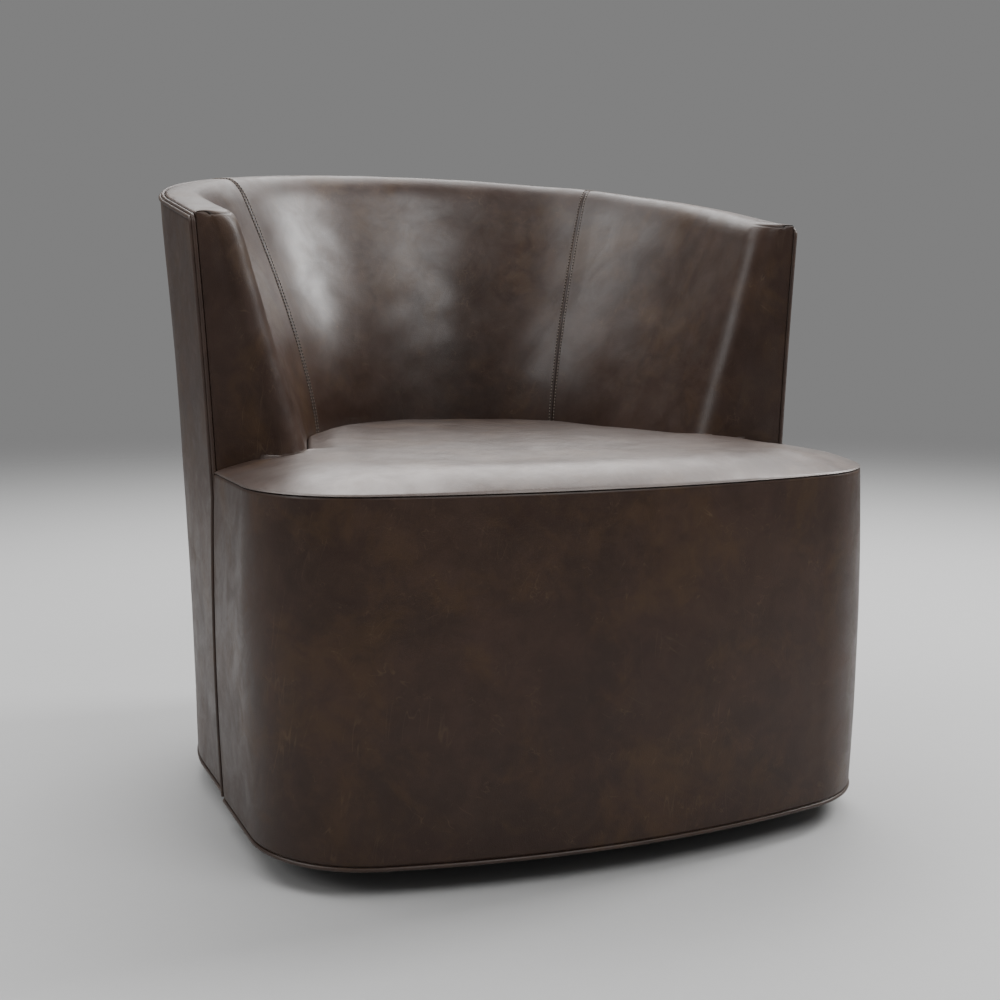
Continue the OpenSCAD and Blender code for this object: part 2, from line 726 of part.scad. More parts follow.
// Posts stand on the bottom ring's band, clear of the cross rails
module at_posts() {
    post_in = post_w / 2 + post_set;
    r = back_r + shell_off(bottom_ring_z) - frame_in - post_in;
    for (a = [0:45:180])
        translate([0, back_cy, 0])
            rotate([0, 0, a])
                translate([r, 0, 0])
                    children();
    for (m = [0, 1])
        mirror([m, 0, 0]) {
            translate([corner_c[0], corner_c[1], 0])
                rotate([0, 0, -45])
                    translate([corner_r + block_off(bottom_ring_z) - front_frame_in - post_in, 0, 0])
                        children();
            translate([front_post_x, -front_reach + front_frame_in + post_in, 0])
                children();
        }
}
post_hole_l = 2 * ply_t;
module frame_posts() {
    color("#b98f5a")
        at_posts()
            difference() {
                translate([-post_w / 2, -post_w / 2, mount_top])
                    cube([post_w, post_w, seat_ring_z - mount_top]);
                rod(screw_hole_d, seat_ring_z - post_hole_l, seat_ring_z + 1);
            }
}
module post_screws() {
    color("#a9a9a9")
        at_posts() {
            rod(screw_head_d, seat_ring_top - screw_head_h, seat_ring_top);
            rod(screw_d, seat_ring_z - post_hole_l + 2, seat_ring_top - screw_head_h);
        }
}
module seat_ring() {
    color("#c7a673")
        difference() {
            plan_ring(seat_ring_z, seat_ring_z, seat_band);
            at_posts() {
                rod(screw_hole_d, seat_ring_z - 1, seat_ring_top + 1);
                rod(screw_head_d + 2 * hole_clearance, seat_ring_top - screw_head_h, seat_ring_top + 1);
            }
        }
}
module spring_rail() {
    clear = seat_band + fit;
    color("#b98f5a")
        intersection() {
            translate([-back_r, spring_rail_y - spring_rail_t / 2, seat_ring_top - spring_rail_h])
                cube([2 * back_r, spring_rail_t, spring_rail_h]);
            translate([0, 0, seat_ring_top - spring_rail_h])
                linear_extrude(spring_rail_h)
                    polygon(plan_outline(seat_ring_z, frame_in + clear, front_frame_in + clear));
        }
}

// Springs run from the front of the seat ring to the spring rail
spring_hold = 16;
spring_y0 = -front_reach + front_frame_in + seat_band - spring_hold;
spring_y1 = spring_rail_y + 1;
spring_step = (spring_y1 - spring_y0) / (spring_bars - 1);
module at_springs() {
    for (k = [0:spring_count - 1])
        translate([(k - (spring_count - 1) / 2) * spring_pitch, 0, 0])
            children();
}
module sinuous_spring() {
    for (i = [0:spring_bars - 1])
        translate([-bar_l / 2, spring_y0 + i * spring_step, spring_z])
            rotate([0, 90, 0])
                cylinder(d = wire_d, h = bar_l, $fn = 24);
    for (i = [0:spring_bars - 2])
        translate([(i % 2 == 0 ? 1 : -1) * bar_l / 2, spring_y0 + (i + 0.5) * spring_step, spring_z])
            rotate([0, 0, i % 2 == 0 ? -90 : 90])
                rotate_extrude(angle = 180, $fn = 32)
                    translate([spring_step / 2, 0])
                        circle(d = wire_d, $fn = 24);
}
module seat_springs() {
    color("#6f757c")
        at_springs()
            sinuous_spring();
}
// A folded clip open toward the spring, its strip on the wood
module spring_clip() {
    slot = clip_slot;
    strip = 9;
    translate([-clip_w / 2, 0, seat_ring_top])
        rotate([90, 0, 90])
            linear_extrude(clip_w)
                polygon([
                    [-slot / 2 - clip_t - strip, 0],
                    [slot / 2 + 1, 0],
                    [slot / 2 + 1, clip_t],
                    [-slot / 2, clip_t],
                    [-slot / 2, clip_t + slot],
                    [slot / 2 - 1, clip_t + slot],
                    [slot / 2 - 1, 2 * clip_t + slot],
                    [-slot / 2 - clip_t, 2 * clip_t + slot],
                    [-slot / 2 - clip_t, clip_t],
                    [-slot / 2 - clip_t - strip, clip_t]
                ]);
}
module spring_clips() {
    color("#8f9296")
        at_springs() {
            translate([0, spring_y0, 0])
                spring_clip();
            translate([0, spring_y1, 0])
                mirror([0, 1, 0])
                    spring_clip();
        }
}
module tie_wires() {
    tie_reach = (spring_count - 1) / 2 * spring_pitch + bar_l;
    color("#d7d2c4")
        for (q = [0.3, 0.65])
            translate([-tie_reach, spring_y0 + q * (spring_y1 - spring_y0), tie_z])
                rotate([0, 90, 0])
                    cylinder(d = tie_d, h = 2 * tie_reach);
}

// Seat cushion
pad_in_front = front_frame_in + 2;
module spring_pad() {
    ys = [for (y = seat_rows(pad_in_front)) y];
    half = [for (y = ys) [seat_half_w(y, pad_in_front) - 1, y]];
    color("#8d8a84")
        translate([0, 0, pad_z])
            linear_extrude(pad_t)
                polygon(concat(half, [for (p = reversed(half)) [-p[0], p[1]]]));
}
module seat_foam() {
    under = 2 * leather_t + layer_gap;
    inset = front_frame_in + 0.4;
    color("#e6d8a6")
        sweep([for (y = seat_rows(inset))
            let (w = seat_half_w(y, inset))
            concat(
                [[-w, y, foam_z], [w, y, foam_z]],
                [for (q = reversed(seat_shares)) [q * w, y, seat_top(q * w, y) - under]]
            )]);
}
module seat_cover() {
    color("#54433a")
        sweep([for (y = seat_rows(0))
            let (w = seat_half_w(y, 0))
            concat(
                [for (q = seat_shares) [q * w, y, seat_top(q * w, y) - leather_t]],
                [for (q = reversed(seat_shares)) [q * w, y, seat_top(q * w, y)]]
            )], cap = "strip");
}

// Border round the front of the seat block
border_top = seat_seam_z - leather_t - 0.5;
hem_seat = hem_z + 2 * hem_bead_r + 0.7;
module border_cover() {
    color("#3b2f2a")
        front_layer(block_y, 0, leather_t, hem_seat, border_top);
}
module border_padding() {
    color("#ded3b2")
        front_layer(block_y, pad_in, pad_in + border_pad_t, hem_seat, border_top);
}
module front_board() {
    color("#9a744a")
        front_layer(arm_y - 1, front_board_in, front_board_in + board_t, bottom_ring_z, border_top);
}

// Frame of the shell
module top_rail() {
    function top(s, r) = rim_z(st_y(s, r)) - top_rail_drop;
    color("#c7a673")
        sweep([for (s = shell_stations(shell_y))
            let (
                zt = edge_z(s) - top_rail_drop,
                r1 = shell_r(s, zt - ply_t) - frame_in,
                r0 = r1 - top_rail_w
            )
            [
                st_point(s, r0, top(s, r0) - ply_t),
                st_point(s, r1, top(s, r1) - ply_t),
                st_point(s, r1, top(s, r1)),
                st_point(s, r0, top(s, r0))
            ]]);
}
// Inner edge of the ribs at a station, from the seat ring up to the top rail
function rib_top_z(s) = edge_z(s) - top_rail_drop - ply_t;
function rib_in_low(s) = shell_r(s, seat_ring_top) - frame_in - rib_foot;
function rib_in_high(s) = shell_r(s, rib_top_z(s)) - frame_in - top_rail_w;
function rib_in(s, z) =
    rib_in_low(s) + (rib_in_high(s) - rib_in_low(s)) * (z - seat_ring_top) / (rib_top_z(s) - seat_ring_top);
module rib(s) {
    half = ply_t / 2;
    slip = half * tan(rim_tilt) * abs(st_dir(s)[0]) + fit;
    outer_in = frame_in + 1;
    function under(r) = rim_z(st_y(s, r)) - top_rail_drop - ply_t - slip;
    top_out = shell_r(s, rib_top_z(s)) - outer_in;
    levels = [for (k = [1:3]) seat_ring_top + (rib_top_z(s) - seat_ring_top) * k / 4];
    rotate([90, 0, 0])
        translate([0, 0, -half])
            linear_extrude(ply_t)
                polygon(concat(
                    [[rib_in_low(s), seat_ring_top], [shell_r(s, seat_ring_top) - outer_in, seat_ring_top]],
                    [for (z = levels) [shell_r(s, z) - outer_in, z]],
                    [[top_out, under(top_out)], [rib_in_high(s), under(rib_in_high(s))]]
                ));
}
module shell_ribs() {
    side_y = (shell_y + back_cy) / 2;
    color("#b98f5a") {
        for (a = [3, 7, 12, 17, 21] * arc_step)
            translate([0, back_cy, 0])
                rotate([0, 0, a])
                    rib([1, a]);
        for (m = [0, 1])
            mirror([m, 0, 0])
                translate([0, side_y, 0])
                    rib([0, side_y]);
    }
}
module web(z_share) {
    sweep([for (s = shell_stations(shell_y))
        let (z0 = crease_z - web_drop + z_share * (rib_top_z(s) - crease_z), z1 = z0 + web_h)
        [
            st_point(s, rib_in(s, z0) - fit - web_t, z0),
            st_point(s, rib_in(s, z0) - fit, z0),
            st_point(s, rib_in(s, z1) - fit, z1),
            st_point(s, rib_in(s, z1) - fit - web_t, z1)
        ]]);
}
module elastic_webs() {
    color("#2f2f33")
        for (q = [0, 0.36, 0.72])
            web(q);
}
module shell_board() {
    color("#9a744a")
        shell_layer(end_board_y, board_in, board_in + board_t, bottom_ring_z, top_rail_drop + 3);
}

// Foam of the tub, standing on the seat ring and rolled over the top rail
function foam_loop(s) =
    let (
        line = moved(wall_line(s, tub_foam_z, board_in), leather_t + layer_gap),
        zt = edge_z(s) - top_rail_drop + 0.4,
        r1 = shell_r(s, zt) - board_in,
        back_in = web_t + 3 * fit
    )
    concat(
        [for (p = line) st_point(s, p[0], p[1])],
        [st_point(s, r1, rim_z(st_y(s, r1)) - top_rail_drop + 0.4)],
        [let (r = rib_in_high(s) - back_in) st_point(s, r, rim_z(st_y(s, r)) - top_rail_drop + 0.4)],
        [st_point(s, rib_in(s, tub_foam_z) - back_in, tub_foam_z)]
    );
seam_gap = 0.05;
// The loops run clockwise seen from the front, so the stations go from back to front
module arm_foam() {
    sweep([for (s = reversed(arm_stations(shell_y, seam_angle - seam_gap))) foam_loop(s)]);
}
module right_arm_foam() {
    color("#e6d8a6")
        arm_foam();
}
module left_arm_foam() {
    color("#e6d8a6")
        mirror([1, 0, 0])
            arm_foam();
}
back_stations = arc_stations(seam_angle + seam_gap, 180 - seam_angle - seam_gap);
module back_foam() {
    color("#e6d8a6")
        sweep([for (s = reversed(back_stations)) foam_loop(s)]);
}

// Leather of the tub
cover_low = seat_ring_top + 30;
function cover_loop(s) =
    let (line = wall_line(s, cover_low, welt_back))
    [for (p = concat(line, reversed(moved(line, leather_t)))) st_point(s, p[0], p[1])];
module arm_cover() {
    stations = arm_stations(arm_y + leather_t + layer_gap, seam_angle - seam_gap);
    sweep([for (s = reversed(stations)) cover_loop(s)], cap = "strip");
}
module right_arm_cover() {
    color("#4b3c34")
        arm_cover();
}
module left_arm_cover() {
    color("#4b3c34")
        mirror([1, 0, 0])
            arm_cover();
}
module back_cover() {
    color("#5a4a41")
        sweep([for (s = reversed(back_stations)) cover_loop(s)], cap = "strip");
}

// Arm ends: a board, its padding and the leather, with outlines cut from the arm's own section
function end_outline(y, z0, depth, outer_depth) =
    let (
        s = [0, y],
        line = moved(wall_line(s, z0, outer_depth), depth),
        z1 = line[len(line) - 1][1]
    )
    concat(
        line,
        [for (k = [1:4]) let (z = z1 + (z0 - z1) * k / 5) [shell_r(s, z) - outer_depth, z]],
        [[shell_r(s, z0) - outer_depth, z0]]
    );
module end_slab(y0, y1, z0, depth, outer_depth) {
    sweep([for (y = [y1, (y0 + y1) / 2, y0])
        [for (p = end_outline(y, z0, depth, outer_depth)) [p[0], y, p[1]]]]);
}
end_low = border_top - 18;
module arm_end_cover() {
    end_slab(arm_y, arm_y + leather_t, end_low, 0, welt_back);
}
module right_arm_end_cover() {
    color("#443630")
        arm_end_cover();
}
module left_arm_end_cover() {
    color("#443630")
        mirror([1, 0, 0])
            arm_end_cover();
}
module arm_end_padding() {
    y0 = arm_y + leather_t + layer_gap;
    end_slab(y0, y0 + end_pad_t, end_low, leather_t + 2 * layer_gap, board_in);
}
module right_arm_end_padding() {
    color("#ded3b2")
        arm_end_padding();
}
module left_arm_end_padding() {
    color("#ded3b2")
        mirror([1, 0, 0])
            arm_end_padding();
}
module arm_end_boards() {
    y0 = end_board_y;
    outline = end_outline(y0, seat_ring_top, leather_t + 4, frame_in + 0.6);
    color("#c7a673")
        for (m = [0, 1])
            mirror([m, 0, 0])
                translate([0, y0 + ply_t, 0])
                    rotate([90, 0, 0])
                        linear_extrude(ply_t)
                            polygon(outline);
}

// Outside of the shell
module outside_padding() {
    color("#ded3b2")
        shell_layer(arm_y + welt_back, pad_in, pad_in + outside_pad_t, hem_seat, welt_back + 3);
}
module outside_cover() {
    color("#3a2e29")
        shell_layer(arm_y + welt_back, 0, leather_t, hem_seat, welt_back);
}

// Double welt along the rim, and down the front edge of each arm
module rim_welt() {
    color("#5f4f46")
        sweep([for (s = shell_stations(arm_y + 0.4))
            let (ze = edge_z(s), re = shell_r(s, ze))
            [for (p = bead_pair([re - bead_far, ze - bead_near], [re - bead_near, ze - bead_far], bead_r))
                st_point(s, p[0], p[1])]], cap = "fan");
}
function welt_x(z) =
    side_x(arm_y) + (z < seat_seam_z ? max(shell_off(z), block_off(z)) : shell_off(z));
module arm_welt() {
    top = arm_top_z - welt_back - 1;
    zs = concat(
        [for (k = [5:-1:0]) seat_seam_z + (top - seat_seam_z) * k / 5],
        [for (k = [4:-1:0]) hem_seat + (seat_seam_z - 40 - hem_seat) * k / 4]
    );
    sweep([for (z = zs)
        let (x = welt_x(z))
        [for (p = bead_pair([x - bead_far, arm_y + bead_near], [x - bead_near, arm_y + bead_far], bead_r))
            [p[0], p[1], z]]], cap = "fan");
}
module arm_welts() {
    color("#5f4f46")
        for (m = [0, 1])
            mirror([m, 0, 0])
                arm_welt();
}
module hem_welt() {
    z = hem_z + hem_bead_r;
    inset = 1;
    loop = [for (k = [0:7]) hem_bead_r * [cos(45 * k), sin(45 * k)]];
    color("#5f4f46")
        sweep(
            concat(
                [for (s = shell_stations(arm_y + 8))
                    [for (p = loop) st_point(s, shell_r(s, z) - inset + p[0], z + p[1])]],
                [for (f = front_path(arm_y - 4))
                    [for (p = loop) front_point(f, block_off(z) - inset + p[0], z + p[1])]]
            ),
            closed = true
        );
}
module dust_cover() {
    cloth_t = 0.6;
    color("#1c1c1c")
        translate([0, 0, bottom_ring_z - fit - cloth_t])
            linear_extrude(cloth_t)
                difference() {
                    polygon(plan_outline(bottom_ring_z, frame_in, front_frame_in));
                    circle(r = dust_hole_r, $fn = 72);
                }
}

base_disc();
glides();
glide_screws();
swivel_lower_plate();
lower_plate_screws();
king_pin();
pin_nut();
bearing_balls();
ball_cage();
swivel_upper_plate();
upper_plate_bolts();
swivel_mount_board();
board_screws();
cross_rails();
rail_screws();
bottom_ring();
frame_posts();
post_screws();
seat_ring();
spring_rail();
seat_springs();
spring_clips();
tie_wires();
spring_pad();
seat_foam();
seat_cover();
border_cover();
border_padding();
front_board();
top_rail();
shell_ribs();
elastic_webs();
shell_board();
right_arm_foam();
left_arm_foam();
back_foam();
right_arm_cover();
left_arm_cover();
back_cover();
right_arm_end_cover();
left_arm_end_cover();
right_arm_end_padding();
left_arm_end_padding();
arm_end_boards();
outside_padding();
outside_cover();
rim_welt();
arm_welts();
hem_welt();
dust_cover();
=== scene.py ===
import bmesh
import bpy
import numpy as np
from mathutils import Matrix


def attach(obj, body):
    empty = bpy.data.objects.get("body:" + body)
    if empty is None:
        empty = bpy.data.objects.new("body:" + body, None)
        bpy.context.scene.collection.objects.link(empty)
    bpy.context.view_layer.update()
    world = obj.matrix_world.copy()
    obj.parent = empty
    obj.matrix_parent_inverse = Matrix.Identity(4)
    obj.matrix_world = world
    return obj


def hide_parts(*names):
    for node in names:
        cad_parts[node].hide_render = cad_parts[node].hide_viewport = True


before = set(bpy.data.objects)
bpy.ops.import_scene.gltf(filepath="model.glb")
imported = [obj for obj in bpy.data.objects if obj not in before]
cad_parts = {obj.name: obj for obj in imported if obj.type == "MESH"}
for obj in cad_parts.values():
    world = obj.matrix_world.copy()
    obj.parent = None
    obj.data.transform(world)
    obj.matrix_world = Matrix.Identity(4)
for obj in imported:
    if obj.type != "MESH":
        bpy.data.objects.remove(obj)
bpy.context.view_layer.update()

# Camera: a little to the left of the chair's front and below its rim, turned toward the seat.
# Its place and its lens were fitted to the outlines and seams in the photograph.
eye = bpy.data.objects.new("camera", bpy.data.cameras.new("camera"))
bpy.context.scene.collection.objects.link(eye)
bpy.context.scene.camera = eye
eye.location = (-0.66983, -1.74395, 0.60410)
eye.rotation_euler = np.radians([90 - 7.632, 0, -21.657])
eye.data.sensor_width = 36
eye.data.lens = 51.607


# Base disc: an 18 mm plywood disc set far in under the hem, sanded, sealed and painted satin black.
# It stands still on five glides, so the chair above it seems to float on its own shadow.
class Shade:
    """A socket of a material. Sums, differences and products of sockets add Math nodes, and node() adds
    any other node: its type, its settings, then its values and links."""

    def __init__(self, tree, socket=None):
        self.tree = tree
        self.socket = socket

    def node(self, kind, settings=(), inputs=(), output=0):
        made = self.tree.nodes.new(kind)
        for name, value in dict(settings).items():
            setattr(made, name, value)
        for name, value in dict(inputs).items():
            if isinstance(value, Shade):
                self.tree.links.new(value.socket, made.inputs[name])
            else:
                made.inputs[name].default_value = value
        return Shade(self.tree, made.outputs[output] if len(made.outputs) else None)

    def maths(self, operation, *values, clamp=False):
        """A Math node that takes these values."""
        settings = {"operation": operation, "use_clamp": clamp}
        return self.node("ShaderNodeMath", settings, enumerate(values))

    def __add__(self, other): return self.maths("ADD", self, other)
    def __radd__(self, other): return self.maths("ADD", other, self)
    def __sub__(self, other): return self.maths("SUBTRACT", self, other)
    def __rsub__(self, other): return self.maths("SUBTRACT", other, self)
    def __mul__(self, other): return self.maths("MULTIPLY", self, other)
    def __rmul__(self, other): return self.maths("MULTIPLY", other, self)

    def step(self, low, high):
        """0 below low, 1 above high, and a smooth rise between them."""
        settings = {"interpolation_type": "SMOOTHSTEP"}
        return self.node("ShaderNodeMapRange", settings, {0: self, 1: low, 2: high})

    def noise(self, place, scale, detail=3.0, roughness=0.55, distortion=0.0):
        """Cloudy noise from 0 to 1, with blots about 1 / scale metres wide."""
        inputs = {"Vector": place, "Scale": scale, "Detail": detail, "Roughness": roughness,
                  "Distortion": distortion}
        return self.node("ShaderNodeTexNoise", (), inputs)

    def turned(self, place, degrees, scale):
        """The place for a texture that is turned by these degrees and drawn out by this scale."""
        inputs = {"Vector": place, "Rotation": np.radians(degrees), "Scale": scale}
        return self.node("ShaderNodeMapping", {"vector_type": "TEXTURE"}, inputs)

    def blend(self, share, first, second):
        """A colour that goes from first to second as share goes from 0 to 1."""
        first, second = ((*c, 1) if isinstance(c, tuple) else c for c in (first, second))
        return self.node("ShaderNodeMix", {"data_type": "RGBA"}, {0: share, 6: first, 7: second}, output=2)

    def bump(self, height, depth, below=None):
        """Normal of a relief, height from 0 to 1 and its depth in metres, laid over the one below it."""
        inputs = {"Height": height, "Distance": depth, "Strength": 1.0}
        if below:
            inputs["Normal"] = below
        return self.node("ShaderNodeBump", (), inputs)


def finish(name, make, **constants):
    """A new material. make gets its first socket and Object coordinates, and returns the shader's varying
    inputs."""
    material = bpy.data.materials.new(name)
    material.use_nodes = True
    tree = material.node_tree
    tree.nodes.clear()
    start = Shade(tree)
    place = start.node("ShaderNodeTexCoord", output=3)
    inputs = {key.replace("_", " "): value for key, value in constants.items()}
    shader = start.node("ShaderNodeBsdfPrincipled", (), {**inputs, **make(start, place)})
    start.node("ShaderNodeOutputMaterial", (), {0: shader})
    return material


def coat_nodes(material, *names):
    """Puts a material on CAD nodes, which keep their own mesh and place."""
    for name in names:
        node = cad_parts[name]
        if not node.material_slots:
            node.data.materials.append(material)
        for slot in node.material_slots:
            slot.material = material


def black_paint(s, place):
    """Satin black with the orange peel of a sprayed coat, a trace of the grain below, and grey scuffs."""
    orange_peel = s.noise(place, 900, 2)
    scuff = s.noise(s.turned(place, (0, 0, 30), (0.02, 0.2, 0.2)), 3, 5).step(0.62, 0.75)
    grain = s.noise(s.turned(place, (0, 0, 0), (4, 0.35, 0.35)), 90, 4)
    return {"Base Color": s.blend(scuff, (0.010, 0.010, 0.011), (0.030, 0.029, 0.028)),
            "Roughness": 0.38 + 0.2 * scuff,
            "Normal": s.bump(orange_peel, 0.00002, s.bump(grain, 0.00012))}


coat_nodes(finish("black_paint", black_paint), "base_disc")


# Glides: five black nylon buttons under the disc, injection moulded with a fine matt texture.
# A screw in the well of each one holds it up against the plywood.
def moulded_nylon(s, place):
    """Black nylon with a spark eroded texture, paler and rougher where it is worn."""
    spark = s.noise(place, 2600, 2)
    worn = s.noise(place, 140, 4).step(0.5, 0.75)
    return {"Base Color": s.blend(worn, (0.013, 0.013, 0.014), (0.034, 0.033, 0.032)),
            "Roughness": 0.5 + 0.15 * worn, "Normal": s.bump(spark, 0.00003)}


coat_nodes(finish("moulded_nylon", moulded_nylon), "glides")


# Swivel: two stamped steel plates with rolled ball tracks, a king pin and its nut, zinc plated.
# Every screw and bolt has the same bright plating, slightly streaked by the barrel it was plated in.
def zinc_plate(s, place):
    """Bright zinc: faint spangles, dull patches, and fine streaks along one way."""
    spangle = s.node("ShaderNodeTexVoronoi", (), {"Vector": place, "Scale": 260.0}, output=1)
    streak = s.noise(s.turned(place, (0, 0, 20), (6, 0.5, 0.5)), 420, 4)
    dull = s.noise(place, 36, 4).step(0.4, 0.7)
    tone = s.blend(dull, (0.50, 0.51, 0.53), (0.34, 0.35, 0.36))
    return {"Base Color": s.blend(0.12, tone, spangle), "Roughness": 0.26 + 0.22 * dull + 0.08 * streak,
            "Normal": s.bump(streak, 0.00001)}


coat_nodes(finish("zinc_plate", zinc_plate, Metallic=1.0),
           "swivel_lower_plate", "swivel_upper_plate", "king_pin", "pin_nut", "glide_screws",
           "lower_plate_screws", "upper_plate_bolts", "board_screws", "rail_screws", "post_screws",
           "spring_clips")


# Ball ring: ground bearing balls in a stamped brass cage, both with a film of grease.
# It lies between the two swivel plates and turns at half the chair's rate.
def ground_steel(s, place):
    """Bright steel, darker and rougher where the grease is smeared."""
    smear = s.noise(place, 500, 3)
    return {"Base Color": s.blend(smear, (0.56, 0.57, 0.59), (0.42, 0.42, 0.43)),
            "Roughness": 0.08 + 0.14 * smear}


def stamped_brass(s, place):
    """Yellow brass with brown smears of grease, and fine scratches along one way."""
    smear = s.noise(place, 160, 4).step(0.35, 0.7)
    scratch = s.noise(s.turned(place, (0, 0, 60), (5, 0.4, 0.4)), 700, 3)
    return {"Base Color": s.blend(smear, (0.55, 0.38, 0.14), (0.34, 0.22, 0.08)),
            "Roughness": 0.24 + 0.25 * smear, "Normal": s.bump(scratch, 0.00001)}


coat_nodes(finish("ground_steel", ground_steel, Metallic=1.0), "bearing_balls")
coat_nodes(finish("stamped_brass", stamped_brass, Metallic=1.0), "ball_cage")


# Frame: birch plywood rings, boards and arm ends, and planed beech rails, posts and ribs, glued and
# screwed together. The plies show as light and dark layers on every sawn edge.
def birch_ply(s, place):
    """Pale birch: long grain, and plies that follow a sine of the height, bent a little by noise."""
    height = s.node("ShaderNodeSeparateXYZ", (), {0: place}, output=2)
    plies = s.maths("SINE", height * 3700 + s.noise(place, 25, 3) * 3).step(-0.5, 0.6)
    grain = s.noise(s.turned(place, (0, 0, 4), (9, 0.5, 0.5)), 60, 5)
    tone = s.blend(grain, (0.46, 0.31, 0.17), (0.66, 0.49, 0.30))
    return {"Base Color": s.blend(plies * 0.3, tone, (0.30, 0.18, 0.09)), "Roughness": 0.62 + 0.15 * grain,
            "Normal": s.bump(grain, 0.0002)}


def planed_beech(s, place):
    """Beech: wavy bands for the rings, and short dark flecks along the grain."""
    ring = s.node("ShaderNodeTexWave", {"wave_type": "BANDS", "bands_direction": "X"},
                  {"Vector": s.turned(place, (3, 5, 12), (1, 8, 8)), "Scale": 46.0, "Distortion": 5.0,
                   "Detail": 3.0}, output=1)
    fleck = s.noise(s.turned(place, (0, 4, 0), (7, 0.6, 0.6)), 380, 3).step(0.55, 0.7)
    tone = s.blend(ring, (0.36, 0.22, 0.11), (0.50, 0.33, 0.18))
    return {"Base Color": s.blend(fleck, tone, (0.27, 0.15, 0.07)), "Roughness": 0.56 + 0.14 * fleck,
            "Normal": s.bump(fleck, 0.00015)}


coat_nodes(finish("birch_ply", birch_ply),
           "swivel_mount_board", "bottom_ring", "seat_ring", "top_rail", "arm_end_boards")
coat_nodes(finish("planed_beech", planed_beech), "cross_rails", "frame_posts", "spring_rail", "shell_ribs")


# Panels: bent fibreboard, brown and speckled with pressed fibres. It is stapled over the posts and ribs
# and carries the padding of the outside and of the front.
def fibreboard(s, place):
    """Clouded brown board with pale fibres pressed into it."""
    fibre = s.noise(place, 650, 4, 0.7)
    brown = s.blend(s.noise(place, 30, 3), (0.20, 0.12, 0.06), (0.30, 0.19, 0.10))
    return {"Base Color": s.blend(fibre, brown, (0.40, 0.27, 0.15)),
            "Roughness": 0.7 + 0.15 * fibre, "Normal": s.bump(fibre, 0.0001)}


coat_nodes(finish("fibreboard", fibreboard), "shell_board", "front_board")


# Springs: sinuous seat springs of drawn wire, oiled dark and held by a clip at each end.
# Two paper covered tie wires lace them together.
def drawn_wire(s, place):
    """Grey drawn steel under oil, browner and rougher in patches."""
    draw = s.noise(place, 1500, 2)
    rust = s.noise(place, 70, 4).step(0.55, 0.7)
    return {"Base Color": s.blend(rust, (0.20, 0.21, 0.22), (0.13, 0.10, 0.08)),
            "Roughness": 0.32 + 0.25 * rust, "Normal": s.bump(draw, 0.00002)}


coat_nodes(finish("drawn_wire", drawn_wire, Metallic=0.9), "seat_springs", "tie_wires")


# Webs and cloths: woven elastic webs round the tub, needled felt over the springs, and black spun cloth
# stapled under the frame to keep the dust out.
def woven_elastic(s, place):
    """Black webbing: its weave is the sine of the height times the sine of x plus y."""
    axes = [s.node("ShaderNodeSeparateXYZ", (), {0: place}, output=k) for k in range(3)]
    rib = s.maths("SINE", axes[2] * 4200) * s.maths("SINE", (axes[0] + axes[1]) * 3000)
    return {"Base Color": s.blend(rib.step(-0.2, 0.6), (0.012, 0.012, 0.014), (0.045, 0.045, 0.05)),
            "Roughness": 0.8 + 0.1 * rib, "Normal": s.bump(rib, 0.0003)}


def needled_felt(s, place):
    """Grey felt of mixed fibres, browner in clouds."""
    fibre = s.noise(place, 900, 5, 0.7)
    wool = s.blend(s.noise(place, 60, 3), (0.32, 0.31, 0.29), (0.42, 0.38, 0.33))
    return {"Base Color": s.blend(fibre, (0.20, 0.19, 0.18), wool),
            "Roughness": 0.88 + 0.1 * fibre, "Normal": s.bump(fibre, 0.0006)}


def spun_cloth(s, place):
    """Black cloth of fine fibres, bonded in small round dots."""
    dots = s.node("ShaderNodeTexVoronoi", (), {"Vector": place, "Scale": 420.0}).step(0.15, 0.5)
    fibre = s.noise(place, 1400, 3)
    return {"Base Color": s.blend(fibre, (0.008, 0.008, 0.009), (0.024, 0.024, 0.026)),
            "Roughness": 0.75 + 0.15 * dots, "Normal": s.bump(dots, 0.0002)}


coat_nodes(finish("woven_elastic", woven_elastic), "elastic_webs")
coat_nodes(finish("needled_felt", needled_felt), "spring_pad")
coat_nodes(finish("spun_cloth", spun_cloth), "dust_cover")


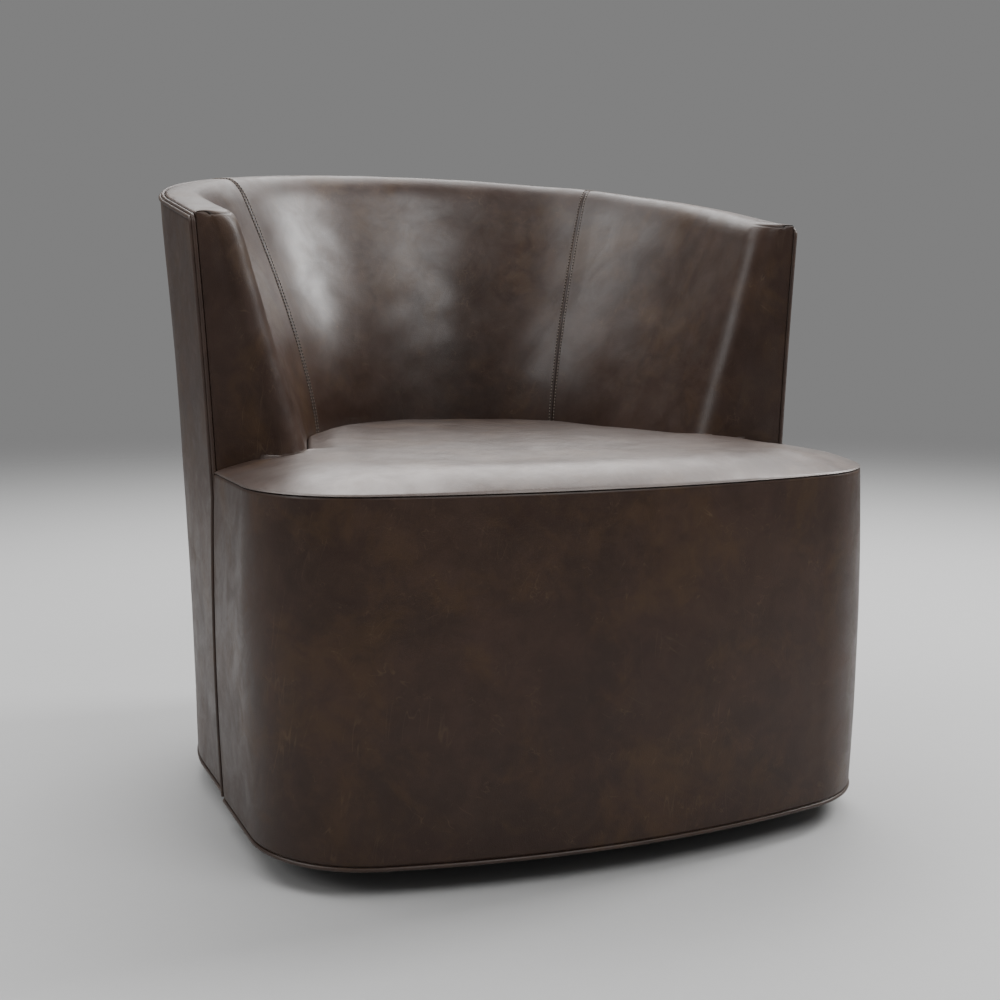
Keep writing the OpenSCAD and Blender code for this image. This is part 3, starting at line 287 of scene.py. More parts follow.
# Arms: foam cut to shape, wrapped in leather that turns in one piece from the hollow inside of the tub
# round the front edge on to the arm's end. A seam runs over the crown there and round the turn, and
# another joins the back.
def leather(s, place):
    """Dark waxed pull-up leather: clouded brown, amber where it is stretched, with pale hairline scuffs,
    fine pebbled grain and short puckers beside the seams, and painted shade, nearly black, in the seam
    grooves. The seam attribute holds, in mm, the distance from the nearest seam and the length along it."""
    seam = s.node("ShaderNodeAttribute", {"attribute_name": "seam"}, (), output=1)
    off, along = (s.node("ShaderNodeSeparateXYZ", (), {0: seam}, output=k) for k in range(2))
    broad = s.noise(place, 3.4, 3, 0.5)
    cloud = s.noise(place, 11, 5, 0.62, 0.5)
    patch = s.noise(place, 34, 5, 0.6, 0.8)
    speck = s.noise(place, 190, 4, 0.6)
    shade = (cloud * 0.5 + patch * 0.35 + broad * 0.35 - 0.1).step(0.32, 0.72)
    wisp = s.noise(s.turned(place, (20, 35, 0), (1, 1, 1.3)), 26, 6, 0.66, 0.8).step(0.32, 0.68)
    amber = (s.noise(place, 9, 5, 0.65, 0.8) + patch * 0.30).step(0.62, 0.86)
    scratches = (((20, 35, 10), 62, 4), ((75, 10, 50), 80, 7),
                 ((40, 80, 120), 55, 3), ((5, 55, 155), 95, 9))
    scuffs = 0.0
    for turn, size, places in scratches:
        drawn = s.noise(s.turned(place, turn, (9, 1, 1)), size, 2, 0.5)
        line = (1 - s.maths("ABSOLUTE", drawn - 0.5) * 60).step(0.0, 1.0)
        scuffs = scuffs + line * s.noise(place, places * 4.3, 3, 0.6).step(0.56, 0.70)
    scuffs = s.maths("MULTIPLY", scuffs, 0.3 + patch, clamp=True)
    brown = s.blend(shade, (0.0300, 0.0155, 0.0105), (0.0540, 0.0295, 0.0200))
    brown = s.blend(amber * 0.36, brown, (0.0780, 0.0410, 0.0150))
    brown = s.blend(speck.step(0.60, 0.78) * 0.25, brown, (0.0700, 0.0420, 0.0250))
    brown = s.blend(scuffs * 0.36, brown, (0.1250, 0.0820, 0.0480))
    # Painted shade: within about 1 mm of a seam, tuck or hem edge the colour goes nearly black, as the
    # shade in the groove; the groove is also rougher.
    groove = 1 - off.step(0.1, 1.0)
    brown = s.blend(groove * 0.8, brown, (0.0040, 0.0028, 0.0024))
    pebble = s.node("ShaderNodeTexVoronoi", {"feature": "SMOOTH_F1"},
                    {"Vector": place, "Scale": 820.0, "Smoothness": 0.5})
    crease = s.noise(s.turned(place, (0, 0, 0), (3, 3, 1)), 60, 5, 0.65, 1.2)
    pucker = s.noise(s.node("ShaderNodeCombineXYZ", (), {0: along * 0.16, 1: off * 0.02}), 1.0, 2)
    pucker = pucker * (1 - off.step(1.0, 14.0))
    height = pebble * 0.10 + crease * 0.18 + pucker * 0.4
    rough = 0.16 + 0.16 * cloud + 0.18 * patch + 0.09 * wisp + 0.08 * speck + 0.10 * scuffs + 0.2 * groove
    return {"Base Color": brown, "Roughness": rough, "Normal": s.bump(height, 0.001)}


def rubbed(s, place):
    """Marbling of the wax where people rub it to a shine, from 0 to 1."""
    return s.noise(s.turned(place, (20, 35, 0), (1, 1, 1.3)), 21, 7, 0.70, 1.0).step(0.30, 0.70)


def leant_on_leather(s, place):
    """The same leather polished by backs and arms: a marbled coat that ends below the tilted rim and at
    the arm ends."""
    y, z = (s.node("ShaderNodeSeparateXYZ", (), {0: place}, output=k) for k in (1, 2))
    below_rim, from_end = 0.7271 + 0.1774 * y - z, y + 0.118
    reach = below_rim.step(0.004, 0.030) * from_end.step(0.0, 0.03)
    made = leather(s, place)
    return {**made, "Roughness": made["Roughness"] * 0.92,
            "Coat Weight": reach * (0.24 + 0.34 * rubbed(s, place))}


dark_leather = finish("dark_leather", leather, Specular_IOR_Level=0.3)
tub_leather = finish("tub_leather", leant_on_leather, Specular_IOR_Level=0.36, Coat_Roughness=0.31)

# The outside's plan, the tub's plan at its foot and its rim, and the heights from the hem up, in mm
BACK_R, BACK_Y, ARM_Y, EDGE_IN, TURN_R = 379.0, 24.0, -120.0, 6.48, 33.0
TUB_R, TUB_Y, TOP_R = 214.6, 60.0, 342.0
HEM, FOOT, SEAT_SEAM, CREASE, ARM_TOP = 35.5, 326.0, 420.0, 433.0, 705.8
TOE, SPLAY, TOP_TOE, TILT = np.radians([1.4, 14, 3.8, 10.06])
SEAM_RUN = BACK_R * np.radians(42)
# The seam of the arm's end turns at this level, on a shoulder of this length; past its ends its distance
# grows by OFF_END, and FAR stands for no seam at all
TURN_LEVEL, SHOULDER, OFF_END, FAR = 1.6, 32.0, 16.0, 99.0


def smooth(t):
    """A smooth rise from 0 to 1 as t goes from 0 to 1."""
    t = np.clip(t, 0, 1)
    return t**2 * (3 - 2 * t)


def sunk(distance, width):
    """Depth of a seam's groove, 1 in its middle: the bell curve of the distance over the width."""
    return np.exp(-(distance / width)**2)


def length_along(line):
    """Length run at each point of a line."""
    return np.concatenate([[0], np.cumsum(np.linalg.norm(np.diff(line, axis=0), axis=1))])


def no_seam(rows, columns):
    """Seam attribute of a grid that no seam is near."""
    return np.full((rows, columns, 3), FAR)


def plan(run):
    """Foot and direction of the radius at a length run along the outline, in mm: the right side up to 0,
    then the round back about (0, 24), then the left side. Also the angle from the nearer side and the
    length past the back."""
    angle = np.clip(run / BACK_R, 0, np.pi)
    past = np.maximum(0, np.maximum(-run, run - BACK_R * np.pi))
    return BACK_Y - past, np.cos(angle), np.sin(angle), np.minimum(angle, np.pi - angle), past


def flare(z):
    """Outward step of the shell at the seat seam and its flare, a square in the height, in mm."""
    rise = z - SEAT_SEAM
    return 2.3 + 0.0412 * rise + 4.66e-5 * rise**2


def shell_r(run, z):
    """Radius of the outside: 379 mm on the back, drawn in by 1.4 degrees on the sides, which start
    0.113 mm further out, plus the flare with height."""
    past = plan(run)[4]
    return BACK_R + 0.113 * np.clip(past / 40, 0, 1) - past * np.tan(TOE) + flare(z)


def rim_z(y):
    """Height of the tilted rim at a depth y."""
    return ARM_TOP + (y - ARM_Y) * np.tan(TILT)


def rim_edge(run):
    """Radius and height of the rim's outer edge, where the tilted rim meets the flared outside."""
    foot, _, sine, _, _ = plan(run)
    z = rim_z(foot + BACK_R * sine)
    z = rim_z(foot + shell_r(run, z) * sine)
    return shell_r(run, z), z


def in_space(run, radius, z):
    """Points in mm from lengths along the outline, radii and heights."""
    foot, cosine, sine, _, _ = plan(run)
    return np.stack(np.broadcast_arrays(radius * cosine, foot + radius * sine, z), -1)


def end_turn(y):
    """Outward turn of the wall round the arm's front edge at a depth y: a quarter circle."""
    left = np.clip(TURN_R - (y - ARM_Y), 0, TURN_R)
    return TURN_R - np.sqrt(TURN_R**2 - left**2)


def wall_section(run, v):
    """Radius and height on the tub's inside. v from -1 to 0 climbs to the crease, to 1 up the wall, whose
    radius grows with a power of the height, to 2 over the shoulder on a quadratic curve, and to 3 out
    along the crowned rim. The hollow grows from none on the arms to all at 70 degrees round the back."""
    foot, _, sine, aside, past = plan(run)
    share = smooth(np.degrees(aside) / 70)
    shift = TUB_Y - BACK_Y
    straight = (TUB_R + shift * np.sin(SPLAY)) / np.cos(np.minimum(aside, 1) - SPLAY)
    bow = shift * np.sin(aside) + np.sqrt(TUB_R**2 - (shift * np.cos(aside))**2)
    touch = np.arctan2(shift + TUB_R * np.sin(SPLAY), TUB_R * np.cos(SPLAY))
    low = np.where(aside < touch, straight, bow)
    low = np.where(past > 0, (TUB_R - (foot - TUB_Y) * np.sin(SPLAY)) / np.cos(SPLAY), low)
    high = TOP_R + 0.754 * np.clip(past / 60, 0, 1) - past * np.tan(TOP_TOE)
    gain, power, top = 0.93 + 0.07 * share, 1 + 0.62 * share, 0.93 - 0.03 * share
    edge_r, edge_z = rim_edge(run)
    climb = edge_z - CREASE
    turn = end_turn(foot)
    t = np.clip(v, 0, 1)
    wall_r = turn + low + (high - low) * gain * t**power
    wall_z = CREASE + top * t * climb + (CREASE - FOOT) * np.minimum(v, 0)
    # The shoulder's quadratic curve runs from a to b, drawn to c, so that it leaves the wall without a kink
    ra, za = turn + low + (high - low) * gain, CREASE + top * climb
    rb = np.minimum(ra + 26 + 10 * share, edge_r - EDGE_IN - 6)
    crown = 6 - 2 * share
    zb = rim_z(foot + rb * sine) + crown
    rc = ra + (zb - za) * gain * power / top * (high - low) / climb
    q = np.clip(v - 1, 0, 1)
    over_r = (1 - q)**2 * ra + 2 * q * (1 - q) * rc + q**2 * rb
    over_z = (1 - q)**2 * za + (1 - (1 - q)**2) * zb
    top_r = rb + np.clip(v - 2, 0, 1) * (edge_r - EDGE_IN - rb)
    top_z = rim_z(foot + top_r * sine) + crown * (1 - ((top_r - rb) / (edge_r - rb))**2)
    radius = np.where(v < 1, wall_r, np.where(v < 2, over_r, top_r))
    return radius, np.where(v < 1, wall_z, np.where(v < 2, over_z, top_z))


def ripple(points, length, seed):
    """Smooth waves of about the given length in mm: the sum of 24 plane waves with seeded directions and
    phases."""
    draw = np.random.default_rng(seed)
    way = draw.normal(size=(24, 3))
    way *= (2 * np.pi / (length * draw.uniform(0.7, 1.7, 24)) / np.linalg.norm(way, axis=1))[:, None]
    return np.sin(points @ way.T + draw.uniform(0, 2 * np.pi, 24)).sum(-1) / np.sqrt(12)


def outward(grid):
    """Unit normals of a grid, from the cross product of its two directions."""
    normal = np.cross(np.gradient(grid, axis=1), np.gradient(grid, axis=0))
    return normal / np.maximum(np.linalg.norm(normal, axis=-1, keepdims=True), 1e-9)


def over_crown(v):
    """How much of the arm end's seam shows at a level: none at 1.5 and below, all at 1.6 and above."""
    return np.clip((v - 1.5) / 0.1, 0, 1)


def tub_surface(run, v):
    """Leather of the tub's inside on a grid of lengths and levels, and its seam attribute. It sinks into
    the back seam, the seam over the crown and round the turn of the arm's end, and the welt, swells
    beside the back seam, and waves gently over the foam."""
    radius, z = wall_section(run, v)
    grid = in_space(run, radius, z)
    seam_run = np.where(run < BACK_R * np.pi / 2, SEAM_RUN, BACK_R * np.pi - SEAM_RUN)
    beside = np.abs(run - seam_run) * radius / BACK_R
    from_front = np.where(run < 0, grid[..., 1] - ARM_Y, FAR)
    crown = over_crown(v)
    inward = np.clip(from_front / TURN_R * 2.5 - 1.5, 0, 1)
    fold = np.abs(v - TURN_LEVEL) * SHOULDER
    to_welt = np.where(v > 2, (3 - v) * 30, FAR) + 0 * run
    end_seam = np.minimum(from_front + OFF_END * (1 - crown), fold + OFF_END * inward)
    off = np.minimum(np.minimum(beside, end_seam), to_welt + 0.5)
    swell = 0.35 * ripple(grid, 150, 3) + 0.16 * ripple(grid, 55, 4)
    lift = swell * np.clip(off / 25, 0, 1) + 0.55 * (beside / 13) * np.exp(1 - beside / 13)
    lift -= sunk(beside, 0.8) + 0.6 * sunk(to_welt, 1.0)
    lift -= 0.8 * np.maximum(crown * sunk(from_front, 1.0), (1 - inward) * sunk(fold, 1.2))
    grid = grid + outward(grid) * lift[..., None]
    along = np.cumsum(np.linalg.norm(np.diff(grid, axis=1, prepend=grid[:, :1]), axis=-1), axis=1)
    along = along - along[:, np.argmin(np.abs(v), axis=1)]
    return grid, np.stack([off, along, 0 * off], -1)


def mesh_piece(name, material, grids, flat_faces=(), attribute="seam"):
    """An object from grids of points in mm, each with its attribute and whether its rows close on
    themselves, and from flat faces given as loops of points. Equal points are merged, so the piece is one
    closed skin facing outwards."""
    points, marks, faces, first = [], [], [], 0
    for grid, mark, closed in grids:
        rows, columns = grid.shape[:2]
        index = first + np.arange(rows * columns).reshape(rows, columns)
        index = np.concatenate([index, index[:, :1]], 1) if closed else index
        quads = np.stack([index[:-1, :-1], index[:-1, 1:], index[1:, 1:], index[1:, :-1]], -1)
        faces += quads.reshape(-1, 4).tolist()
        points.append(grid.reshape(-1, 3))
        marks.append(np.broadcast_to(mark, grid.shape).reshape(-1, 3))
        first += rows * columns
    for loop in flat_faces:
        faces.append(list(range(first, first + len(loop))))
        points.append(loop)
        marks.append(np.full((len(loop), 3), FAR))
        first += len(loop)
    mesh = bpy.data.meshes.new(name)
    mesh.from_pydata(np.concatenate(points) * 0.001, [], faces)
    mesh.attributes.new(attribute, "FLOAT_VECTOR", "POINT").data.foreach_set(
        "vector", np.concatenate(marks).astype(np.float32).ravel())
    work = bmesh.new()
    work.from_mesh(mesh)
    bmesh.ops.remove_doubles(work, verts=work.verts, dist=0.00003)
    bmesh.ops.recalc_face_normals(work, faces=work.faces)
    work.to_mesh(mesh)
    work.free()
    mesh.shade_smooth()
    mesh.set_sharp_from_angle(angle=np.radians(50))
    mesh.materials.append(material)
    piece = bpy.data.objects.new(name, mesh)
    bpy.context.scene.collection.objects.link(piece)
    return piece


def behind_foam(run, count):
    """Hidden side of the tub's foam, as points down from the rim: under the leather to the top rail, 8.4 mm
    in from the outside, over it to 40.8 mm, and down the elastic webs to 62.8 mm at the seat ring."""
    edge_r, edge_z = rim_edge(run)
    foot, _, sine, _, _ = plan(run)
    rail_drop, web = 21.6, 2.5
    outer = shell_r(run, edge_z - rail_drop) - 8.4
    rail = shell_r(run, edge_z - 40) - 40.8 - web
    low = shell_r(run, 318) - 62.8 - web
    nodes_r = np.stack([edge_r - EDGE_IN - 2, outer, rail, low], -1)
    nodes_z = np.stack([edge_z - 3, rim_z(foot + outer * sine) - rail_drop,
                        rim_z(foot + rail * sine) - rail_drop, np.full_like(edge_z, FOOT + 0.5)], -1)
    share = np.linspace(0, 3, count)
    left = np.minimum(share.astype(int), 2)
    return tuple(nodes[..., left] + (nodes[..., left + 1] - nodes[..., left]) * (share - left)
                 for nodes in (nodes_r, nodes_z))


levels = np.concatenate([np.linspace(-1, 0, 12)[:-1], np.linspace(0, 1, 118)[:-1],
                         np.linspace(1, 2, 30)[:-1], 2 + (1 - (1 - np.linspace(0, 1, 16))**1.6)])
beside_seam = np.array([0.05, 0.45, 0.9, 1.4, 2.0, 2.8, 3.8, 5, 6.6, 9, 12])
front_turn = ARM_Y + TURN_R * (1 - np.sin(np.radians(np.linspace(90, 0, 26)))) - BACK_Y
# The arm's end board lies between two depths, with a close pair of rows where the hidden side steps there
BOARD_FRONT, BOARD_BACK = -113.55, -92.7
step_rows = np.array([-113.6, -113.5, -92.9, -92.6]) - BACK_Y
arm_runs = np.sort(np.concatenate([front_turn, np.linspace(front_turn[-1], SEAM_RUN - 14, 140)[1:],
                                   SEAM_RUN - beside_seam[::-1], step_rows]))
arm_face, arm_marks = tub_surface(arm_runs[:, None], levels[None, :])
count = len(levels)

# Hidden side of each section: the outer edge of the end face, then a skin round the end board, then the
# foam's back
face_length = length_along(arm_face[0])
edge_height = FOOT + (arm_face[0, -1, 2] - FOOT) * face_length / face_length[-1]
depth = arm_runs[:, None] + BACK_Y
outer_r = shell_r(arm_runs[:, None], edge_height[None]) - EDGE_IN
outer_side = in_space(arm_runs[:, None], outer_r, edge_height[None])
outer_side[0, -1] = arm_face[0, -1]
skin_side = arm_face - outward(arm_face) * 5.0
foam_side = in_space(arm_runs[:, None], *behind_foam(arm_runs, count))[:, ::-1]
hidden = np.where((depth < BOARD_BACK)[..., None], skin_side, foam_side)
hidden = np.where((depth < BOARD_FRONT)[..., None], outer_side, hidden)
across = 1 - np.linspace(1, 0, 40)**1.8
under = hidden[:, :1] + (arm_face[:, :1] - hidden[:, :1]) * across[1:-1, None]
arm_loops = np.concatenate([arm_face, hidden[:, ::-1], under], 1)
arm_loop_marks = np.concatenate([arm_marks, no_seam(len(arm_loops), arm_loops.shape[1] - count)], 1)

# End face: ruled from the inner section to the outer edge, with a slight pillow, drawn in along its seam
share = 1 - across[None, :]
bare_edge = in_space(arm_runs[0], *wall_section(arm_runs[0], levels))
from_edge = np.linalg.norm(outer_side[0] - arm_face[0], axis=-1)[:, None] * share
inner_edge = bare_edge[:, None] + (arm_face[0] - bare_edge)[:, None] * sunk(from_edge, 3)[..., None]
end_face = outer_side[0][:, None] * share[..., None] + inner_edge * (1 - share[..., None])
crown = over_crown(levels)
apart = np.linalg.norm(end_face[:, :, None] - arm_face[0], axis=-1)
below_top = (apart + OFF_END * (1 - crown)).min(-1)
to_edge = (outer_side[0][:, None, 0] - end_face[..., 0]) + 0.3
inside = (share > 0) & (share < 1)
end_lift = 0.9 * np.sin(np.pi * share)**2 + 0.2 * ripple(end_face, 60, 8) * np.sin(np.pi * share)
end_lift -= 0.8 * (crown * sunk(apart, 1.0)).max(-1) + 0.4 * sunk(to_edge, 1.0)
end_face[..., 1] -= end_lift * inside
end_off = np.minimum(below_top, to_edge + 0.5)
end_marks = np.stack([end_off, arm_marks[0, :, 1:2] + 0 * share, 0 * end_off], -1)


def mirrored(grid):
    """The same points on the left side: x changes its sign."""
    return grid * np.array([-1, 1, 1])


for side, turn in (("right", np.array), ("left", mirrored)):
    arm = mesh_piece(f"{side}_arm_cushion", tub_leather,
                     [(turn(arm_loops), arm_loop_marks, True), (turn(end_face), end_marks, False)],
                     [turn(arm_loops[-1])])
    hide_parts(f"{side}_arm_cover", f"{side}_arm_foam",
                f"{side}_arm_end_cover", f"{side}_arm_end_padding")
    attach(arm, "chair")


# Back: one hollow cushion between the two arm seams, the same foam and leather rolled over the top rail.
# The arms' leather is turned under and topstitched to it along both seams.
half_runs = np.concatenate([SEAM_RUN + beside_seam,
                            np.linspace(SEAM_RUN + 14, BACK_R * np.pi / 2, 100)[1:]])
back_runs = np.concatenate([half_runs, (BACK_R * np.pi - half_runs)[::-1][1:]])
back_face, back_marks = tub_surface(back_runs[:, None], levels[None, :])
back_hidden = in_space(back_runs[:, None], *behind_foam(back_runs, 24))
back_loops = np.concatenate([back_face, back_hidden], 1)
back_marks = np.concatenate([back_marks, no_seam(len(back_loops), back_hidden.shape[1])], 1)
back = mesh_piece("back_cushion", tub_leather, [(back_loops, back_marks, True)],
                  [back_loops[0], back_loops[-1]])
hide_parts("back_cover", "back_foam")
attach(back, "chair")


# Topstitching: two rows of brown bonded thread, one each side of both back seams, 4.6 mm to the stitch.
# The thread is pale where it lies on the leather, and painted dark where it dips into the needle holes, as
# their shade.
def thread(s, place):
    """Brown twisted thread, worn paler in places, and painted near black where its attribute is 1, as the
    shade of the needle holes.
    """
    twist = s.noise(place, 2200, 2)
    worn = s.noise(place, 90, 3)
    dip = s.node("ShaderNodeAttribute", {"attribute_name": "dip"}, (), output=2)
    brown = s.blend(worn, (0.200, 0.162, 0.134), (0.300, 0.255, 0.220))
    # Painted shade: where the attribute is 1 the thread goes near black, as the shade inside its needle
    # hole.
    return {"Base Color": s.blend(dip, brown, (0.002, 0.0015, 0.0013)),
            "Roughness": 0.5 + 0.2 * twist + 0.3 * dip, "Normal": s.bump(twist, 0.0001)}


# Place along a stitch, thickness, height and painted shade of its rings, 1 where the needle hole's shade is
# painted black
DIPS = np.array([[-0.5, 0.9, 0.1, 1], [-0.3, 1.0, 0.2, 1], [-0.22, 0.8, 0.3, 0], [0, 0.9, 0.4, 0],
                 [0.22, 0.8, 0.3, 0], [0.3, 1.0, 0.2, 1], [0.5, 0.9, 0.1, 1]])


def stitches(line, normal, pitch, length, radius):
    """Capsules of thread lying along a line, each of seven rings of six points: a raised middle, then a
    sink at both ends down to the leather, whose end rings get painted shade in stitch_piece."""
    run = length_along(line)
    middles = (np.arange(int(run[-1] / pitch)) + 0.5) * pitch
    where = middles[:, None] + DIPS[:, 0] * length
    centre = np.stack([np.interp(where, run, line[:, k]) for k in range(3)], -1)
    up = np.stack([np.interp(where, run, normal[:, k]) for k in range(3)], -1)
    along = np.gradient(centre, axis=1)
    along /= np.linalg.norm(along, axis=-1, keepdims=True)
    side = np.cross(along, up)
    turn = np.radians(np.arange(6) * 60)
    thick, height = radius * DIPS[:, 1], radius * DIPS[:, 2]
    ring = side[:, :, None] * np.cos(turn)[:, None] + up[:, :, None] * np.sin(turn)[:, None]
    return (centre + up * height[:, None])[:, :, None] + ring * thick[:, None, None]


def stitch_piece(name, rows):
    """One object from many capsules of thread."""
    # The last column of DIPS, the painted shade of the needle holes, becomes each ring's attribute.
    grids = [(capsule, DIPS[:, None, 3:] * np.ones(3), True) for row in rows for capsule in row]
    caps = [capsule[k] for row in rows for capsule in row for k in (0, -1)]
    return mesh_piece(name, bonded_thread, grids, caps, "dip")


bonded_thread = finish("bonded_thread", thread, Specular_IOR_Level=0.2)
ROW_OFF, PITCH, STITCH, THREAD_R = 3.6, 4.6, 4.4, 0.8
rows = []
seam_levels = np.linspace(0, 2.93, 600)
radius = wall_section(SEAM_RUN + 0 * seam_levels, seam_levels)[0]
for way in (-1, 1):
    probe = SEAM_RUN + (ROW_OFF * way + np.array([-0.5, 0, 0.5])[:, None]) * BACK_R / radius
    strip, _ = tub_surface(probe, seam_levels[None, :])
    rows.append(stitches(strip[1], outward(strip)[1], PITCH, STITCH, THREAD_R))
rows += [mirrored(row) for row in rows]
topstitch = stitch_piece("topstitching", rows)
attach(topstitch, "chair")


# Seat: a crowned foam block on the springs, wider in front of the arms than between them, its leather
# tucked down at the tub and sewn to the front border along a fine seam.
CORNER_R, FRONT_R, FRONT_Y = 141.0, 1134.0, -424.0
SEAT_GAP, CROWN, DIP, ROLL, PAD_TOP = 0.8, 23, 9, 6, 330.4
ARM_END_X = 264 + TURN_R  # where the flat end of an arm begins
SEAT_R = TUB_R - SEAT_GAP
ROUND_Y = TUB_Y + SEAT_R * np.sin(SPLAY)
# The corner's circle touches the side line and the bowed front
bow_middle = np.array([0, FRONT_R + FRONT_Y])
side_out = np.array([np.cos(TOE), -np.sin(TOE)])
side_down = np.array([-np.sin(TOE), -np.cos(TOE)])
side_foot = np.array([0, BACK_Y]) + (BACK_R - CORNER_R) * side_out
reach = side_foot - bow_middle
slide = -reach @ side_down + np.sqrt((reach @ side_down)**2 - reach @ reach + (FRONT_R - CORNER_R)**2)
CORNER = side_foot + slide * side_down
BOW = np.arcsin(CORNER[0] / (FRONT_R - CORNER_R))


def side_x(y):
    """Half width of the block between its straight sides at a depth y."""
    return (BACK_R + (y - BACK_Y) * np.sin(TOE)) / np.cos(TOE)


def front_outline(start_y, step):
    """Points and normals of the block's front in plan, from its left end to its right end: a side drawn in
    by 1.4 degrees, a corner circle of 141 mm, and the front bowed to 1134 mm."""
    side_y = np.arange(start_y, CORNER[1] - CORNER_R * np.sin(TOE), -step)
    side = np.stack([side_x(side_y), side_y], -1)
    angle = np.linspace(TOE, np.pi / 2 - BOW, int(CORNER_R * 1.3 / step))
    normal = np.stack([np.cos(angle), -np.sin(angle)], -1)
    bend = np.linspace(np.pi / 2 - BOW, np.pi / 2, int(FRONT_R * BOW / step) + 1)[1:]
    bow = np.stack([np.cos(bend), -np.sin(bend)], -1)
    points = np.concatenate([side, CORNER + CORNER_R * normal, bow_middle + FRONT_R * bow])
    normals = np.concatenate([np.broadcast_to(side_out, side.shape), normal, bow])
    flip = np.array([-1, 1])
    both = (points, normals)
    return tuple(np.concatenate([half * flip, half[-2::-1]]) for half in both)


def seat_half_width(y):
    """Half width of the seat between the arms at a depth y: straight splayed sides, the round back, and
    the quarter turn round the arm ends, less the gap to the tub."""
    sides = (SEAT_R - (y - TUB_Y) * np.sin(SPLAY)) / np.cos(SPLAY)
    round_part = np.sqrt(np.maximum(0, SEAT_R**2 - (y - TUB_Y)**2))
    return end_turn(y) + np.where(y < ROUND_Y, sides, round_part)


def seat_height(x, y):
    """Height of the seat: a crown that rises in 60 mm from the front seam and in 130 mm or more at the
    corners and sides, a dip at the tub, a rolled edge where it meets the tub and the arm ends, and a fine
    tuck. Also the distances from the seam and from the tub."""
    c = np.stack([np.abs(x), y], -1) - CORNER
    in_corner = (c[..., 1] < 0) & (c[..., 0] > 0) & (c[..., 0] * np.cos(BOW) > -c[..., 1] * np.sin(BOW))
    front = FRONT_R - np.hypot(x, y - FRONT_R - FRONT_Y)
    side = side_x(y) - np.abs(x)
    seam = np.where(in_corner, CORNER_R - np.linalg.norm(c, axis=-1), np.minimum(front, side))
    seam = np.where(y > ARM_Y - 1, 130, np.maximum(seam, 0))
    inner = (seat_half_width(np.minimum(y, ROUND_Y)) - np.abs(x)) * np.cos(SPLAY)
    wall = np.where(y < ROUND_Y, inner, SEAT_R - np.hypot(x, y - TUB_Y))
    ends = np.hypot(np.maximum(0, ARM_END_X - np.abs(x)), ARM_Y - 1.4 - y)
    wall = np.where(y < ARM_Y, ends, wall)
    before_arm = np.where(y < ARM_Y, np.clip((330 - np.abs(x)) / 60, 0, 1), 1)
    near = np.clip((y - ARM_Y + 60) / 60, 0, 1) * before_arm
    roll = np.clip(ROLL - wall, 0, ROLL)
    wide = np.clip((np.abs(x) - 150) / 150, 0, 1)
    span = 60 + np.hypot(70 * smooth((y + 330) / 140), 70 * wide)
    z = SEAT_SEAM + CROWN * (1 - (1 - np.clip(seam / span, 0, 1))**2.2)
    z -= DIP * near * (1 - smooth(wall / 36))
    z -= ROLL - np.sqrt(ROLL**2 - roll**2) + sunk(seam, 1.1) * (y < ARM_Y - 1)
    return z, seam, np.maximum(wall, 0)


front_points, front_normals = front_outline(ARM_Y - 2.6, 3.0)
turn_y = ARM_Y + TURN_R * (1 - np.sin(np.radians(np.linspace(90, 0, 22))))
tub_y = np.concatenate([turn_y, np.linspace(turn_y[-1], ROUND_Y, 66)[1:]])
tub_side = np.stack([seat_half_width(tub_y), tub_y], -1)
bend = np.linspace(SPLAY, np.pi / 2, 96)[1:]
tub_round = np.stack([SEAT_R * np.cos(bend), TUB_Y + SEAT_R * np.sin(bend)], -1)
ledge_x = np.linspace(front_points[-1, 0] - 0.2, tub_side[0, 0], 26)[1:-1]
ledge = np.stack([ledge_x, np.linspace(ARM_Y - 2.6, ARM_Y - 0.4, 24)], -1)
right_half = np.concatenate([ledge, tub_side, tub_round])
outline = np.concatenate([front_points, right_half, (right_half * np.array([-1, 1]))[-2::-1]])
is_front = np.arange(len(outline)) < len(front_points)

# Rings of the top, drawn in from the outline to the middle and closer together beside the seam. The seam
# attribute counts from the front seam up to SEAM_REACH, and from the tub past it.
TOP_REACH, SEAM_REACH = 375, 59
middle = np.array([0, -150.0])
inset = np.concatenate([[0, 0.5, 1, 1.6, 2.3, 3.1, 4, 5, 6.2, 7.6, 9.2, 11, 13, 15.5, 18.5, 22, 26],
                        [30.5, 35.5, 41], np.linspace(47, 372, 42)])
ring = 1 - inset / TOP_REACH
top_xy = middle + ring[:, None, None] * (outline - middle)
top_z, seam_off, wall_off = seat_height(top_xy[..., 0], top_xy[..., 1])
calm = np.clip(np.minimum(seam_off, wall_off) / 30, 0, 1)
flat = np.concatenate([top_xy, np.full((*top_z.shape, 1), 440.0)], -1)
top_z = top_z + calm * (0.5 * ripple(flat, 170, 11) + 0.22 * ripple(flat, 60, 12))
seat_top = np.concatenate([top_xy, top_z[..., None]], -1)
seat_off = np.where(seam_off < SEAM_REACH, seam_off + 0.5, np.minimum(wall_off + 1.2, SEAM_REACH))
seat_marks = np.stack([seat_off, length_along(outline) + 0 * top_z, 0 * top_z], -1)

# Sides: in under the seam and down behind the border, and down along the tub, to the pad on the springs
length = np.linalg.norm(outline - middle, axis=1)
skirt = []
for front_in, tub_in, front_z, tub_drop in ((0.6, 0, 418.4, 4), (16.6, 0.2, 417.9, 14),
                                            (17.0, 0.4, PAD_TOP, 500)):
    inwards = np.where(is_front, front_in, tub_in)
    xy = middle + (1 - inwards / length)[:, None] * (outline - middle)
    z = np.where(is_front, front_z, np.maximum(seat_top[0, :, 2] - tub_drop, PAD_TOP))
    skirt.append(np.concatenate([xy, z[:, None]], 1))
under_ring = skirt[-1].copy()
under_ring[:, :2] = middle + 0.02 * (outline - middle)
seat_skin = np.concatenate([np.stack([under_ring, *skirt[::-1]]), seat_top])
seat_skin_marks = np.concatenate([no_seam(4, len(outline)), seat_marks])


def sat_on_leather(s, place):
    """The same leather polished by sitting: a marbled coat all over."""
    return {**leather(s, place), "Coat Weight": 0.45 + 0.45 * rubbed(s, place)}


